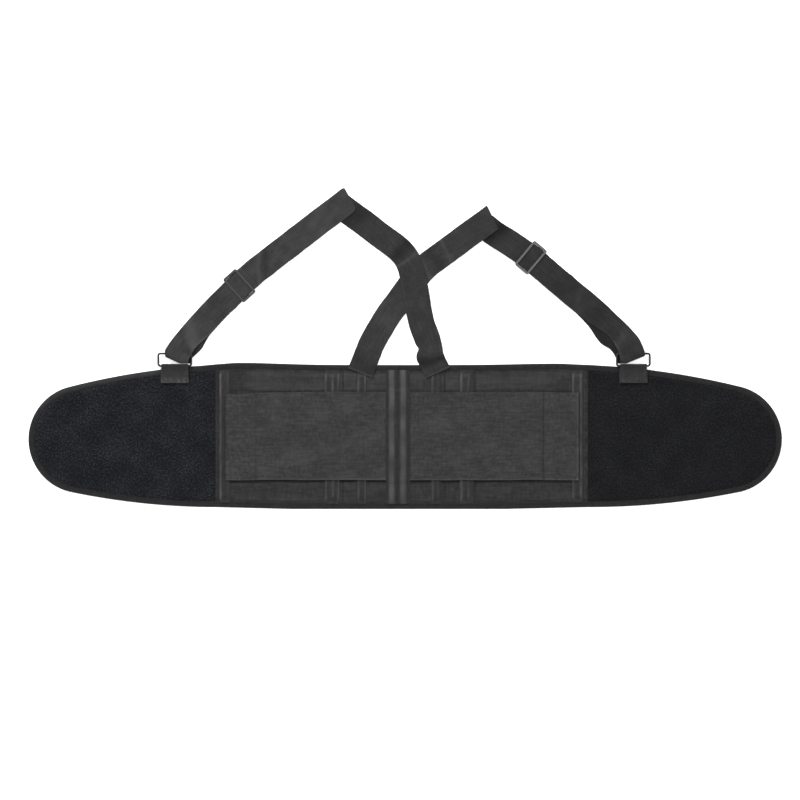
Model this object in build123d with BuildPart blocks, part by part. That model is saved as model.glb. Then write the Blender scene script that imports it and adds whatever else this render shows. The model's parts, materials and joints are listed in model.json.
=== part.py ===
from build123d import *
import math
import os

# Back brace lying flat with its inner, lumbar face down: an elastic back with stays, a wrap wing at each end,
# two elastic pull panels, and two suspenders that cross behind the shoulders. Millimetres. The origin is the
# middle of the lumbar face, +X the wearer's right as seen from outside, +Y towards the shoulders, +Z outward.

SIDES = {"left": -1, "right": 1}
LAY = {"left": 0.981, "right": 1.019}  # how far the elastic lies drawn in or out on each side

# Belt outline
HALF_LENGTH = 550.0
TOP_EDGE = 105.5
BOTTOM_EDGE = -104.8
SEAM = 271.6  # where elastic side meets padded wing
SEAM_LIFT = 2.7  # the bottom edge at the seam, above that at the centre
TIP_RADIUS = 79.0
TIP_CENTRE_Y = -3.0
TIP_TURN = 14.5  # degrees of the tip arc, from straight up, where the wing's edge runs into it
WING_BULGE = 0.026  # rise of the wing's edge above a straight line, as a share of its run

# Layers
ELASTIC = 1.8
TAPE = 0.5
SQUEEZED = 0.9  # the panel's edge inside its binding
BINDING_WIDTH = 8.4
LINING = 0.5
FOAM = 2.4
PILE = 0.8
STAY_THICK = 0.6
CHANNEL_TAPE = 0.4
WEBBING = 1.5
PULL_THICK = 1.4
HOOK_THICK = 0.7
PART_GAP = 0.3  # between pieces that move against each other
FOLD_GAP = 0.3  # cut across the cloth at a fold line

# Places across the belt
FOLD = 157.7  # where the side starts to wrap forward
CENTRE_CHANNEL_WIDTH = 35.0
CENTRE_STAY_X = 8.0
STAY_WIDTH = 6.0
STAY_END_ROOM = 4.0
INNER_STAY_X = 54.4
INNER_CHANNEL_WIDTH = 15.0
OUTER_STAY_X = 97.8
OUTER_CHANNEL_WIDTH = 22.0
END_STAY_X = 257.7
END_CHANNEL_WIDTH = 17.0
PULL_END = 258.5
PULL_TOP = 66.0
PULL_BOTTOM = -62.5
HOOK_WIDTH = 42.0
HOOK_MARGIN = 4.0
CENTRE_RISE = 0.3  # the centre channel stands this much above the pull panels

# Closure hook under the right wing
CLOSURE_WIDTH = 60.0
CLOSURE_HEIGHT = 100.0
CLOSURE_FROM_TIP = 38.0

# Suspender hardware
WEB_WIDTH = 38.0
RING_X = {"left": -325.6, "right": 343.2}
RING_WIRE = 3.0
RING_WIDTH = 51.0
RING_HEIGHT = 21.0
RING_BAR_DROP = 1.5  # the ring's lower bar below the belt's top edge
RING_SWING = 8.0  # degrees that the ring lifts inside the strap's loop
BAR_ROOM = 0.3
TAB_WIDTH = 41.0
TAB_THICK = 1.2
TAB_DROP = 27.5  # the tab's sewn end below the belt's top edge
SLIDER_ALONG = 25.0
SLIDER_RAIL = 3.4
SLIDER_BAR = 3.2
SLIDER_BAR_THICK = 1.2
SLIDER_CORNER = 3.0
LOOP_MEETS = 34.0  # from the ring's upper bar to where the strap's two layers meet

BASE = ELASTIC
CHANNEL_TOP = BASE + STAY_THICK + CHANNEL_TAPE
HOOK_Z = CHANNEL_TOP + PART_GAP
PULL_Z = HOOK_Z + HOOK_THICK
PULL_TOP_Z = PULL_Z + PULL_THICK
WING_TOP_Z = LINING + FOAM + PILE
BINDING_TOP_Z = TAPE + SQUEEZED + TAPE
RING_BAR_Y = TOP_EDGE - RING_BAR_DROP
TAB_BOTTOM = TOP_EDGE - TAB_DROP
REACH = 1400.0  # longer than the whole brace

# Suspender routes, along the middle of the webbing, with Y measured from the belt's top edge
FRONT_ROUTE = {
    "left": [(-325, -6), (-325, 23.5), (-309, 37.5), (-290, 58), (-265, 85.5), (-172, 169), (-148, 185.5),
             (-84, 232.5), (-68, 245.5)],
    "right": [(342.5, -6), (342.5, 20.5), (330.5, 40), (309.5, 58.5), (278, 86.5), (246, 113), (168, 178),
              (122, 206)],
}
BACK_ROUTE = {
    "left": [(-84, 234), (-41, 201.5), (9.8, 163.4), (21.2, 131.3), (27.7, 97.7), (38.7, 52.5), (47.2, 21.8),
             (58.3, -11.6)],
    "right": [(141, 217.5), (112.4, 199.2), (90.5, 183.5), (46.7, 148.1), (22, 122.5), (-19, 62), (-42, 19.5),
              (-55.2, -11.6)],
}
SLIDER_X = {"left": -231.4, "right": 193.9}
SLIDER_DOWN = {"left": 8.0, "right": 55.0}  # travel from here towards the ring
TURN_BACK_ROOM = 2.0  # from the slider's middle bar at that limit to the end of the turned-back layer

# Height of each strap's underside along Y, which is measured from the belt's top edge
LOW = 0.0
HIGH = WEBBING
TOPMOST = HIGH + WEBBING
ON_BELT = CHANNEL_TOP
FRONT_RISE = [(265, HIGH), (-16, HIGH)]
TURNED_BACK_RISE = [(265, LOW), (-16, LOW)]
BACK_RISE = {
    "left": [(265, LOW), (200, LOW), (180, HIGH), (70, HIGH), (45, LOW), (18, LOW), (2.5, ON_BELT), (-26, ON_BELT)],
    "right": [(245, TOPMOST), (185, TOPMOST), (163, LOW), (18, LOW), (2.5, ON_BELT), (-26, ON_BELT)],
}


def lay(side, distance):
    """Place along X of a nominal distance from the centre."""
    return SIDES[side] * distance * LAY[side]


def tip_start(side, upper):
    """Where the wing's edge runs into the round tip."""
    centre_x = lay(side, HALF_LENGTH) - SIDES[side] * TIP_RADIUS
    turn = math.radians(TIP_TURN)
    rise = TIP_RADIUS * math.cos(turn) * (1 if upper else -1)
    return (centre_x + SIDES[side] * TIP_RADIUS * math.sin(turn), TIP_CENTRE_Y + rise)


def bulged(start, end, upper):
    """Middle point of the gentle arc from start to end."""
    run = math.dist(start, end)
    push = WING_BULGE * run * (1 if upper else -1)
    return ((start[0] + end[0]) / 2, (start[1] + end[1]) / 2 + push)


def belt_face(inset=0.0):
    """The whole belt's outline, drawn in by inset."""
    with BuildSketch() as face:
        with BuildLine():
            for upper in (True, False):
                edge = TOP_EDGE if upper else BOTTOM_EDGE
                lift = 0 if upper else SEAM_LIFT
                Line((-FOLD, edge), (FOLD, edge))
                for side in SIDES:
                    fold = (SIDES[side] * FOLD, edge)
                    seam = (lay(side, SEAM), edge + lift)
                    tip = tip_start(side, upper)
                    Line(fold, seam)
                    ThreePointArc(seam, bulged(seam, tip, upper), tip)
            for side in SIDES:
                ThreePointArc(tip_start(side, True), (lay(side, HALF_LENGTH), TIP_CENTRE_Y), tip_start(side, False))
        make_face()
        if inset:
            offset(amount=-inset, kind=Kind.INTERSECTION)
    return face.sketch


def strip(x_from, x_to, inset):
    """The belt between two places across it."""
    low, high = sorted((x_from, x_to))
    with BuildSketch() as face:
        add(belt_face(inset))
        with Locations(((low + high) / 2, 0)):
            Rectangle(high - low, REACH, mode=Mode.INTERSECT)
    return face.sketch


def sheet(face, low, high):
    """A flat layer of that face, from low to high above the floor."""
    with BuildPart() as layer:
        with BuildSketch(Plane.XY.offset(low)):
            add(face)
        extrude(amount=high - low)
    return layer.part


def core(x_from, x_to, low, high):
    """A panel's inside, squeezed thin round its edge where the binding grips it."""
    with BuildPart() as panel:
        add(sheet(strip(x_from, x_to, BINDING_WIDTH), low, high))
        add(sheet(strip(x_from, x_to, TAPE), TAPE, TAPE + SQUEEZED))
    return panel.part


def binding(x_from, x_to):
    """Tape folded round the belt's edge."""
    with BuildPart() as tape:
        add(sheet(strip(x_from, x_to, 0), 0, BINDING_TOP_Z))
        add(sheet(strip(x_from, x_to, BINDING_WIDTH), 0, BINDING_TOP_Z), mode=Mode.SUBTRACT)
        add(sheet(strip(x_from, x_to, TAPE), TAPE, TAPE + SQUEEZED), mode=Mode.SUBTRACT)
    return tape.part


def half_of(part, upper):
    """The half of a part above or below the belt's middle line."""
    with BuildPart() as half:
        add(part)
        with BuildSketch():
            with Locations((0, REACH / 2 if upper else -REACH / 2)):
                Rectangle(REACH, REACH)
        extrude(amount=BINDING_TOP_Z, mode=Mode.INTERSECT)
    return half.part


def stay(x, low):
    """A flat spring stay with rounded ends."""
    length = TOP_EDGE - BOTTOM_EDGE - 2 * (BINDING_WIDTH + STAY_END_ROOM)
    with BuildPart() as blade:
        with BuildSketch(Plane.XY.offset(low)):
            with Locations((x, (TOP_EDGE + BOTTOM_EDGE) / 2)):
                SlotOverall(length, STAY_WIDTH, rotation=90)
        extrude(amount=STAY_THICK)
    return blade.part


def channel(x, width, stay_places, top):
    """A sewn tape over the elastic, hollow underneath where each stay slides in."""
    with BuildPart() as tape:
        add(sheet(strip(x - width / 2, x + width / 2, BINDING_WIDTH), BASE, top))
        for place in stay_places:
            add(stay(place, BASE), mode=Mode.SUBTRACT)
    return tape.part


def ribbon(points, width):
    """Outline of a band of one width along a route, mitred at each turn."""
    left, right = [], []
    for i, point in enumerate(points):
        before = Vector(*point) - Vector(*points[i - 1]) if i else Vector(*points[1]) - Vector(*points[0])
        after = Vector(*points[i + 1]) - Vector(*point) if i + 1 < len(points) else before
        normal = (before.normalized() + after.normalized()).normalized().rotate(Axis.Z, 90)
        reach = width / 2 / normal.dot(after.normalized().rotate(Axis.Z, 90))
        left.append(Vector(*point) + normal * reach)
        right.append(Vector(*point) - normal * reach)
    return left + right[::-1]


def ribbon_face(points, width):
    with BuildSketch() as face:
        with BuildLine():
            Polyline(*ribbon(points, width), close=True)
        make_face()
    return face.sketch


def between(x_from, x_to):
    """Everything between two places across the belt."""
    low, high = sorted((x_from, x_to))
    with BuildPart() as slab:
        with BuildSketch():
            with Locations(((low + high) / 2, 0)):
                Rectangle(high - low, REACH)
        extrude(amount=REACH, both=True)
    return slab.part


def from_top_edge(points):
    """A route whose Y is measured from the belt's top edge, in the brace's own frame."""
    return [(x, TOP_EDGE + y) for x, y in points]


def strap(route, rise, x_from, x_to):
    """Webbing along a route, with its underside at the heights that rise gives along Y."""
    under = [(TOP_EDGE + y, z) for y, z in rise]
    over = [(TOP_EDGE + y, z + WEBBING) for y, z in rise]
    with BuildPart() as web:
        with BuildSketch():
            add(ribbon_face(route, WEB_WIDTH))
        extrude(amount=REACH)
        with BuildSketch(Plane.YZ):
            with BuildLine():
                Polyline(*under, *over[::-1], close=True)
            make_face()
        extrude(amount=REACH, both=True, mode=Mode.INTERSECT)
        add(between(x_from, x_to), mode=Mode.INTERSECT)
    return web.part


def loop_side(centre, meets, thick, lift, outer):
    """Side view of webbing looped round a bar: the solid teardrop, or the hole inside it."""
    radius = RING_WIRE / 2 + BAR_ROOM + (thick if outer else 0)
    with BuildSketch() as side:
        with Locations(centre, (centre[0], centre[1] + lift)):
            Circle(radius)
        with Locations(meets):
            Rectangle(0.2, 2 * thick if outer else 0.02)
        make_hull()
    return side.sketch


def looped(route, centre, meets, thick, width, lift, far):
    """Webbing that comes back on itself round a bar, out to far along +Y."""
    with BuildPart() as web:
        with BuildSketch(Plane.YZ):
            add(loop_side(centre, meets, thick, lift, True))
            with Locations(((meets[0] + far) / 2, meets[1])):
                Rectangle(abs(far - meets[0]), 2 * thick)
            add(loop_side(centre, meets, thick, lift, False), mode=Mode.SUBTRACT)
        extrude(amount=REACH, both=True)
        with BuildSketch():
            add(ribbon_face(route, width))
        extrude(amount=REACH, both=True, mode=Mode.INTERSECT)
    return web.part


def on_route(route, x):
    """The point of a route at that place along X, and the direction of the webbing there, in radians."""
    for start, end in zip(route, route[1:]):
        if min(start[0], end[0]) < x < max(start[0], end[0]):
            slope = (end[1] - start[1]) / (end[0] - start[0])
            return (x, start[1] + slope * (x - start[0])), math.atan(slope)


def save(part, name):
    part.label = name
    export_step(part, f"parts/{name}.step")


os.makedirs("parts", exist_ok=True)

# ---------------------------------------------------------------- back
back_from, back_to = -FOLD + FOLD_GAP / 2, FOLD - FOLD_GAP / 2
save(core(back_from, back_to, 0, ELASTIC), "back_elastic")
back_binding = binding(back_from, back_to)
save(half_of(back_binding, True), "back_top_binding")
save(half_of(back_binding, False), "back_bottom_binding")
save(channel(0, CENTRE_CHANNEL_WIDTH, (-CENTRE_STAY_X, CENTRE_STAY_X), PULL_TOP_Z + CENTRE_RISE), "centre_channel")

for side, sign in SIDES.items():
    save(stay(sign * CENTRE_STAY_X, BASE), f"{side}_centre_stay")
    inner, outer = lay(side, INNER_STAY_X), lay(side, OUTER_STAY_X)
    save(channel(inner, INNER_CHANNEL_WIDTH, (inner,), CHANNEL_TOP), f"{side}_inner_channel")
    save(stay(inner, BASE), f"{side}_inner_stay")
    save(channel(outer, OUTER_CHANNEL_WIDTH, (outer,), CHANNEL_TOP), f"{side}_outer_channel")
    save(stay(outer, BASE), f"{side}_outer_stay")

# ---------------------------------------------------------------- sides and wings
for side, sign in SIDES.items():
    fold, seam, tip = sign * (FOLD + FOLD_GAP / 2), lay(side, SEAM), lay(side, HALF_LENGTH)
    side_end, wing_start, past_tip = seam - sign * FOLD_GAP / 2, seam + sign * FOLD_GAP / 2, tip + sign * TAPE
    save(core(fold, side_end, 0, ELASTIC), f"{side}_side_elastic")
    side_binding = binding(fold, side_end)
    save(half_of(side_binding, True), f"{side}_side_top_binding")
    save(half_of(side_binding, False), f"{side}_side_bottom_binding")
    end = lay(side, END_STAY_X)
    save(channel(end, END_CHANNEL_WIDTH, (end,), CHANNEL_TOP), f"{side}_end_channel")
    save(stay(end, BASE), f"{side}_end_stay")

    save(core(wing_start, past_tip, LINING, LINING + FOAM), f"{side}_wing_foam")
    save(sheet(strip(wing_start, past_tip, BINDING_WIDTH), LINING + FOAM, WING_TOP_Z), f"{side}_wing_pile")
    save(binding(wing_start, past_tip), f"{side}_wing_binding")
    lining = sheet(strip(wing_start, past_tip, BINDING_WIDTH), 0, LINING)
    if side == "left":
        save(lining, "left_wing_lining")
        continue
    with BuildPart() as closure_hook:
        with BuildSketch():
            with Locations((tip - sign * (CLOSURE_FROM_TIP + CLOSURE_WIDTH / 2), TIP_CENTRE_Y)):
                RectangleRounded(CLOSURE_WIDTH, CLOSURE_HEIGHT, radius=8)
        extrude(amount=LINING)
    with BuildPart() as right_lining:
        add(lining)
        add(closure_hook.part, mode=Mode.SUBTRACT)
    save(right_lining.part, "right_wing_lining")
    save(closure_hook.part, "right_wing_closure_hook")

# ---------------------------------------------------------------- pull panels
for side, sign in SIDES.items():
    pull_start = sign * (CENTRE_CHANNEL_WIDTH / 2 + PART_GAP)
    pull_end = lay(side, PULL_END)
    spans = {"inner": (pull_start, sign * (FOLD - FOLD_GAP / 2)), "outer": (sign * (FOLD + FOLD_GAP / 2), pull_end)}
    for name, (x_from, x_to) in spans.items():
        with BuildPart() as pull:
            with BuildSketch(Plane.XY.offset(PULL_Z)):
                with Locations(((x_from + x_to) / 2, (PULL_TOP + PULL_BOTTOM) / 2)):
                    Rectangle(abs(x_to - x_from), PULL_TOP - PULL_BOTTOM)
            extrude(amount=PULL_THICK)
        save(pull.part, f"{side}_pull_{name}")
    with BuildPart() as hook:
        with BuildSketch(Plane.XY.offset(HOOK_Z)):
            with Locations((pull_end - sign * (HOOK_MARGIN + HOOK_WIDTH / 2), (PULL_TOP + PULL_BOTTOM) / 2)):
                Rectangle(HOOK_WIDTH, PULL_TOP - PULL_BOTTOM - 2 * HOOK_MARGIN)
        extrude(amount=HOOK_THICK)
    save(hook.part, f"{side}_pull_hook")

# ---------------------------------------------------------------- suspenders
ring_reach = RING_HEIGHT - RING_WIRE
ring_lift = ring_reach * math.sin(math.radians(RING_SWING))
tab_outer = RING_WIRE / 2 + BAR_ROOM + TAB_THICK
bar_z = WING_TOP_Z + TAB_THICK
loop_y = RING_BAR_Y + ring_reach

for side, sign in SIDES.items():
    ring_x, seam, fold = RING_X[side], lay(side, SEAM), sign * FOLD
    front = from_top_edge(FRONT_ROUTE[side])
    save(strap(front, FRONT_RISE, sign * (FOLD - FOLD_GAP / 2), -sign * FOLD), f"{side}_front_strap_upper")
    back = from_top_edge(BACK_ROUTE[side])
    save(strap(back, BACK_RISE[side], -REACH, REACH), f"{side}_back_strap")

    # Middle: one layer through the slider, and the turned-back layer under it on the ring's side
    (slider_x, slider_y), slope = on_route(front, SLIDER_X[side])
    spare = sign * (SLIDER_DOWN[side] + SLIDER_BAR / 2 + TURN_BACK_ROOM)
    end_point = (slider_x + spare * math.cos(slope), slider_y + spare * math.sin(slope))
    turned_back = [point for point in front if point[1] < end_point[1]] + [end_point]
    with BuildPart() as middle:
        add(strap(front, FRONT_RISE, sign * (FOLD + FOLD_GAP / 2), seam - sign * FOLD_GAP / 2))
        add(strap(turned_back, TURNED_BACK_RISE, fold, seam - sign * FOLD_GAP / 2))
    save(middle.part, f"{side}_front_strap_middle")

    with BuildPart() as loop:
        add(looped(front, (loop_y, bar_z), (loop_y + LOOP_MEETS, WEBBING), WEBBING, WEB_WIDTH, ring_lift, REACH))
        add(between(seam + sign * FOLD_GAP / 2, sign * REACH), mode=Mode.INTERSECT)
    save(loop.part, f"{side}_front_strap_loop")

    # Doubled webbing tab, sewn on the wing and looped round the ring's lower bar
    with BuildPart() as tab:
        add(looped([(ring_x, TAB_BOTTOM), (ring_x, RING_BAR_Y + tab_outer)], (RING_BAR_Y, bar_z),
                   (RING_BAR_Y - 3 * tab_outer, bar_z), TAB_THICK, TAB_WIDTH, 0, TAB_BOTTOM - TAPE))
    save(tab.part, f"{side}_ring_tab")

    # Ring of round wire
    with BuildPart() as ring:
        with BuildLine():
            FilletPolyline(*[(ring_x + dx * (RING_WIDTH - RING_WIRE) / 2, RING_BAR_Y + dy * ring_reach, bar_z)
                             for dx, dy in ((-1, 0), (-1, 1), (1, 1), (1, 0))], radius=RING_WIRE, close=True)
        with BuildSketch(Plane((ring_x, RING_BAR_Y, bar_z), z_dir=(1, 0, 0))):
            Circle(RING_WIRE / 2)
        sweep()
    save(ring.part, f"{side}_ring")

    # Slider: two bars across the top of the webbing, one under it, joined by a rail at each edge
    rail_x = WEB_WIDTH / 2 + PART_GAP + SLIDER_RAIL / 2
    over_z = HIGH + WEBBING + PART_GAP
    slider_top = over_z + SLIDER_BAR_THICK
    frame = Plane((slider_x, slider_y, 0), x_dir=(math.cos(slope), math.sin(slope), 0))
    with BuildPart() as slider:
        with BuildSketch(frame):
            RectangleRounded(SLIDER_ALONG, 2 * rail_x + SLIDER_RAIL, radius=SLIDER_CORNER)
        extrude(amount=slider_top)
        with BuildSketch(frame.offset(SLIDER_BAR_THICK)):
            Rectangle(REACH, WEB_WIDTH + 2 * PART_GAP)
        extrude(amount=over_z - SLIDER_BAR_THICK, mode=Mode.SUBTRACT)
        with BuildSketch(frame.offset(over_z)):
            Rectangle(SLIDER_ALONG - 2 * SLIDER_BAR, WEB_WIDTH + 2 * PART_GAP)
        extrude(amount=SLIDER_BAR_THICK, mode=Mode.SUBTRACT)
        with BuildSketch(frame):
            Rectangle(REACH, WEB_WIDTH + 2 * PART_GAP)
            Rectangle(SLIDER_BAR, WEB_WIDTH + 2 * PART_GAP, mode=Mode.SUBTRACT)
        extrude(amount=SLIDER_BAR_THICK, mode=Mode.SUBTRACT)
    save(slider.part, f"{side}_slider")
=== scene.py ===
import json
import math

import bmesh
import bpy
import numpy as np
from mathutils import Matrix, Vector


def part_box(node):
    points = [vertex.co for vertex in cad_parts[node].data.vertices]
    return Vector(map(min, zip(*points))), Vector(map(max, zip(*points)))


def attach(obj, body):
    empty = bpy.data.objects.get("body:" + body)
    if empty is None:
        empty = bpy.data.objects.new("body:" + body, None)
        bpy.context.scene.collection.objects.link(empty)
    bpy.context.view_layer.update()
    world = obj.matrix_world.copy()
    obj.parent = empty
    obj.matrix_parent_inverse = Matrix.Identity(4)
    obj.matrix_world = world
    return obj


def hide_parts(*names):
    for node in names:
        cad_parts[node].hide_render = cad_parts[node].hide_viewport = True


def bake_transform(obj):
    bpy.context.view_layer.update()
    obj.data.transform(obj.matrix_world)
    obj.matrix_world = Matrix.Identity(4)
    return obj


# Back brace laid flat, outer side up: woven elastic belt with stayed channels and two pull panels, a pile
# wing at each end, and two webbing suspenders with wire rings and sliders. Metres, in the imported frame.

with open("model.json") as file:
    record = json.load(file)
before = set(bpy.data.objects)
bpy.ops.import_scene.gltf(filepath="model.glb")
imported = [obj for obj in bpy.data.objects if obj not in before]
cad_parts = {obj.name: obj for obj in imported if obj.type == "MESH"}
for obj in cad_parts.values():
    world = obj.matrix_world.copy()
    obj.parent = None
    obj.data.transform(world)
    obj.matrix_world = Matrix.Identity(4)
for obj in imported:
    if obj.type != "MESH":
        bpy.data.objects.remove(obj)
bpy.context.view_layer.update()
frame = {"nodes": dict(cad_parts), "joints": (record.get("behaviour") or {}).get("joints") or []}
scene = bpy.context.scene
joints = {joint["name"]: joint for joint in frame["joints"]}
MM = 0.001


# ---------------------------------------------------------------- facts from the frame
def extent(node, axis):
    low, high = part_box(node)
    return low[axis], high[axis]


def extent_middle(node):
    low, high = extent(node, 0)
    return (low + high) / 2


SIDES = {"left": -1, "right": 1}
TOP = extent("back_top_binding", 1)[1]
BOTTOM = extent("back_bottom_binding", 1)[0]
ELASTIC_TOP = extent("back_elastic", 2)[1]
BINDING_TOP = extent("back_top_binding", 2)[1]
CHANNEL_TOP = extent("left_inner_channel", 2)[1]
PULL_LOW, PULL_TOP = extent("left_pull_inner", 2)
CENTRE_TOP = extent("centre_channel", 2)[1]
STAY_COVER = extent("left_inner_stay", 2)[1] + 0.18 * MM
LINING_TOP = extent("left_wing_lining", 2)[1]
WING_TOP = extent("left_wing_pile", 2)[1]
WEBBING = extent("right_front_strap_upper", 2)[0]
FOLD = joints["right_side_wrap"]["pos_m"][0]
SEAM = {side: joints[f"{side}_wing_wrap"]["pos_m"][0] for side in SIDES}
TIP = {"left": extent("left_wing_binding", 0)[0], "right": extent("right_wing_binding", 0)[1]}

# The wing's outline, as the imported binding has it
SEAM_LIFT = 2.7 * MM
TIP_RADIUS = 79 * MM
TIP_CENTRE_Y = -3 * MM
TIP_TURN = math.radians(14.5)
WING_BULGE = 0.026
FULLNESS = {"left": 3.2 * MM, "right": 2.0 * MM}  # how far the top edge swells out beside the wing's seam
FULLEST = 230 * MM
BAND = 8.4 * MM  # visible width of the binding
RING_WIRE = 1.5 * MM  # radius of the ring's wire
LINE_STEP = 1.6 * MM  # between the points of an outline or of a strap's line


# ---------------------------------------------------------------- camera, light and floor
def make_camera():
    """Straight down on the flat brace, far enough away that nothing leans."""
    height, covers = 4.0, 1.168
    data = bpy.data.cameras.new("camera")
    data.lens = data.sensor_width * height / covers
    camera = bpy.data.objects.new("camera", data)
    camera.location = (0.0029, 0.0543, height)
    scene.collection.objects.link(camera)
    scene.camera = camera


def area_light(name, location, size, watts):
    data = bpy.data.lights.new(name, "AREA")
    data.size = size
    data.energy = watts
    light = bpy.data.objects.new(name, data)
    light.location = location
    light.rotation_mode = "QUATERNION"
    light.rotation_quaternion = (-Vector(location)).to_track_quat("-Z", "Y")
    scene.collection.objects.link(light)


def make_studio():
    scene.view_settings.view_transform = "Standard"
    world = bpy.data.worlds.new("studio")
    world.use_nodes = True
    world.node_tree.nodes["Background"].inputs["Color"].default_value = (1, 1, 1, 1)
    world.node_tree.nodes["Background"].inputs["Strength"].default_value = 0.85
    scene.world = world
    area_light("key", (-1.2, 2.4, 1.9), 0.8, 95)
    area_light("top", (0.5, 0.3, 3.2), 1.5, 25)
    half, z = 6.0, -0.4 * MM
    corners = [(-half, -half, z), (half, -half, z), (-half, half, z), (half, half, z)]
    floor = mesh_object("studio_floor", corners, quads(2, 2))
    shader = Shader("studio_floor")
    shader.set({"Base Color": (0.93, 0.93, 0.93, 1), "Roughness": 0.9, "Specular IOR Level": 0.1,
                "Emission Color": (1, 1, 1, 1), "Emission Strength": 0.4})
    floor.data.materials.append(shader.material)


# ---------------------------------------------------------------- meshes
def quads(rows, columns, first=0, wrap=False, flip=False):
    """Faces of a grid of points; wrap joins the last column to the first."""
    start = np.arange(rows - 1)[:, None] * columns
    here = np.arange(columns if wrap else columns - 1)[None, :]
    after = (here + 1) % columns
    faces = np.stack([start + here, start + after, start + columns + after, start + columns + here], -1)
    faces = faces.reshape(-1, 4) + first
    return faces[:, ::-1] if flip else faces


def short_tubes(count, rings, around):
    """Faces of many equal tubes, each closed at both ends."""
    one = quads(rings, around, wrap=True).tolist()
    one += [list(range(around))[::-1], list(range((rings - 1) * around, rings * around))]
    return [[v + i * rings * around for v in face] for i in range(count) for face in one]


def mesh_object(name, points, faces, uv=None, painted_light_and_wear=None):
    """A smooth mesh with one map place, in metres, and one value of painted light and wear for each point."""
    mesh = bpy.data.meshes.new(name)
    places = np.asarray(points, float).reshape(-1, 3).tolist()
    mesh.from_pydata(places, [], [list(map(int, face)) for face in faces])
    corner_points = np.empty(len(mesh.loops), np.int32)
    mesh.loops.foreach_get("vertex_index", corner_points)
    if uv is not None:
        layer = mesh.uv_layers.new(name="UVMap")
        layer.data.foreach_set("uv", np.asarray(uv, np.float32).reshape(-1, 2)[corner_points].ravel())
    shade = mesh.attributes.new("painted_light_and_wear", "FLOAT", "POINT")
    values = np.zeros(len(mesh.vertices)) if painted_light_and_wear is None else np.asarray(painted_light_and_wear, float).ravel()
    shade.data.foreach_set("value", values.astype(np.float32))
    mesh.polygons.foreach_set("use_smooth", np.ones(len(mesh.polygons), bool))
    mesh.update()
    obj = bpy.data.objects.new(name, mesh)
    scene.collection.objects.link(obj)
    return obj


def slab(name, xs, ys, top, bottom, painted_light_and_wear=None, turned=False, map_shift=0.0):
    """A closed sheet over a grid of places, between two grids of heights that meet round the border."""
    rows, columns = xs.shape
    count = rows * columns
    index = np.arange(count).reshape(rows, columns)
    border = np.concatenate([index[0, :-1], index[:-1, -1], index[-1, :0:-1], index[:0:-1, 0]])
    after = np.roll(border, -1)
    rim = np.stack([border, border + count, after + count, after], -1)
    faces = np.concatenate([quads(rows, columns), quads(rows, columns, count, flip=True), rim])
    levels = [np.stack([xs, ys, np.broadcast_to(z, xs.shape)], -1) for z in (top, bottom)]
    points = np.concatenate([level.reshape(-1, 3) for level in levels])
    uv = np.stack([ys, xs] if turned else [xs + map_shift, ys], -1)
    uv = np.concatenate([uv.reshape(-1, 2)] * 2)
    painted_light_and_wear = None if painted_light_and_wear is None else np.concatenate([painted_light_and_wear.ravel(), painted_light_and_wear.ravel()])
    first, right, back = points[0], points[1], points[columns]
    if np.cross(right - first, back - first)[2] < 0:
        faces = faces[:, ::-1]
    return mesh_object(name, points, faces, uv, painted_light_and_wear)


def swept(name, rings, uv, painted_light_and_wear=None):
    """A tube of rings of points, closed at both ends."""
    obj = mesh_object(name, rings, short_tubes(1, *rings.shape[:2]), uv, painted_light_and_wear)
    bm = bmesh.new()
    bm.from_mesh(obj.data)
    bmesh.ops.recalc_face_normals(bm, faces=bm.faces)
    for face in bm.faces:
        face.smooth = len(face.verts) == 4
    bm.to_mesh(obj.data)
    bm.free()
    return obj


def spaced(low, high, step, edge):
    """Places from low to high about a step apart, closer where an edge rounds over."""
    inner = np.linspace(low + edge, high - edge, max(2, round((high - low - 2 * edge) / step) + 1))
    rounding = edge * np.array([0, 0.12, 0.4])
    return np.concatenate([low + rounding, inner, high - rounding[::-1]])


def rounded(distance, radius):
    """Share of the full thickness at a distance in from a rounded edge."""
    return np.sqrt(np.clip(1 - (1 - np.clip(distance / radius, 0, 1)) ** 2, 0, 1))


def step_up(value, low, high):
    """Smooth rise from 0 at low to 1 at high."""
    t = np.clip((value - low) / (high - low), 0, 1)
    return t * t * (3 - 2 * t)


def bump(value, centre, width):
    return np.exp(-((value - centre) / width) ** 2)


def swell(x, y, size, seed, waves=6):
    """Gentle unevenness of about unit height, the same each time."""
    draws = np.random.default_rng(seed)
    total = np.zeros(np.broadcast(x, y).shape)
    for _ in range(waves):
        turn, phase = draws.uniform(0, 2 * math.pi, 2)
        rate = 2 * math.pi / size * draws.uniform(0.6, 1.5)
        total += np.cos(rate * (x * math.cos(turn) + y * math.sin(turn)) + phase)
    return total / math.sqrt(waves)


def ripple(along, size, seed):
    """Unevenness along one direction only."""
    return swell(along, 0 * along, size, seed)


def smooth_curve(points, step):
    """A curve through given points, at even steps along its length."""
    points = np.asarray(points, float)
    padded = np.concatenate([[2 * points[0] - points[1]], points, [2 * points[-1] - points[-2]]])
    pieces = []
    t = np.linspace(0, 1, 24, endpoint=False)[:, None]
    for a, b, c, d in zip(padded, padded[1:], padded[2:], padded[3:]):
        pieces.append(0.5 * (2 * b + (c - a) * t + (2 * a - 5 * b + 4 * c - d) * t ** 2
                             + (3 * b - a - 3 * c + d) * t ** 3))
    line = np.concatenate(pieces + [points[-1:]])
    along = lengths(line)
    return places_along(line, np.linspace(0, along[-1], max(3, round(along[-1] / step) + 1)))


def unit(vectors):
    return vectors / np.maximum(np.linalg.norm(vectors, axis=-1, keepdims=True), 1e-12)


def lengths(line):
    """Distance along a line to each of its points."""
    return np.concatenate([[0], np.cumsum(np.linalg.norm(np.diff(line, axis=0), axis=1))])


def places_along(line, distances):
    along = lengths(line)
    return np.stack([np.interp(distances, along, line[:, k]) for k in range(line.shape[1])], 1)


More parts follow.
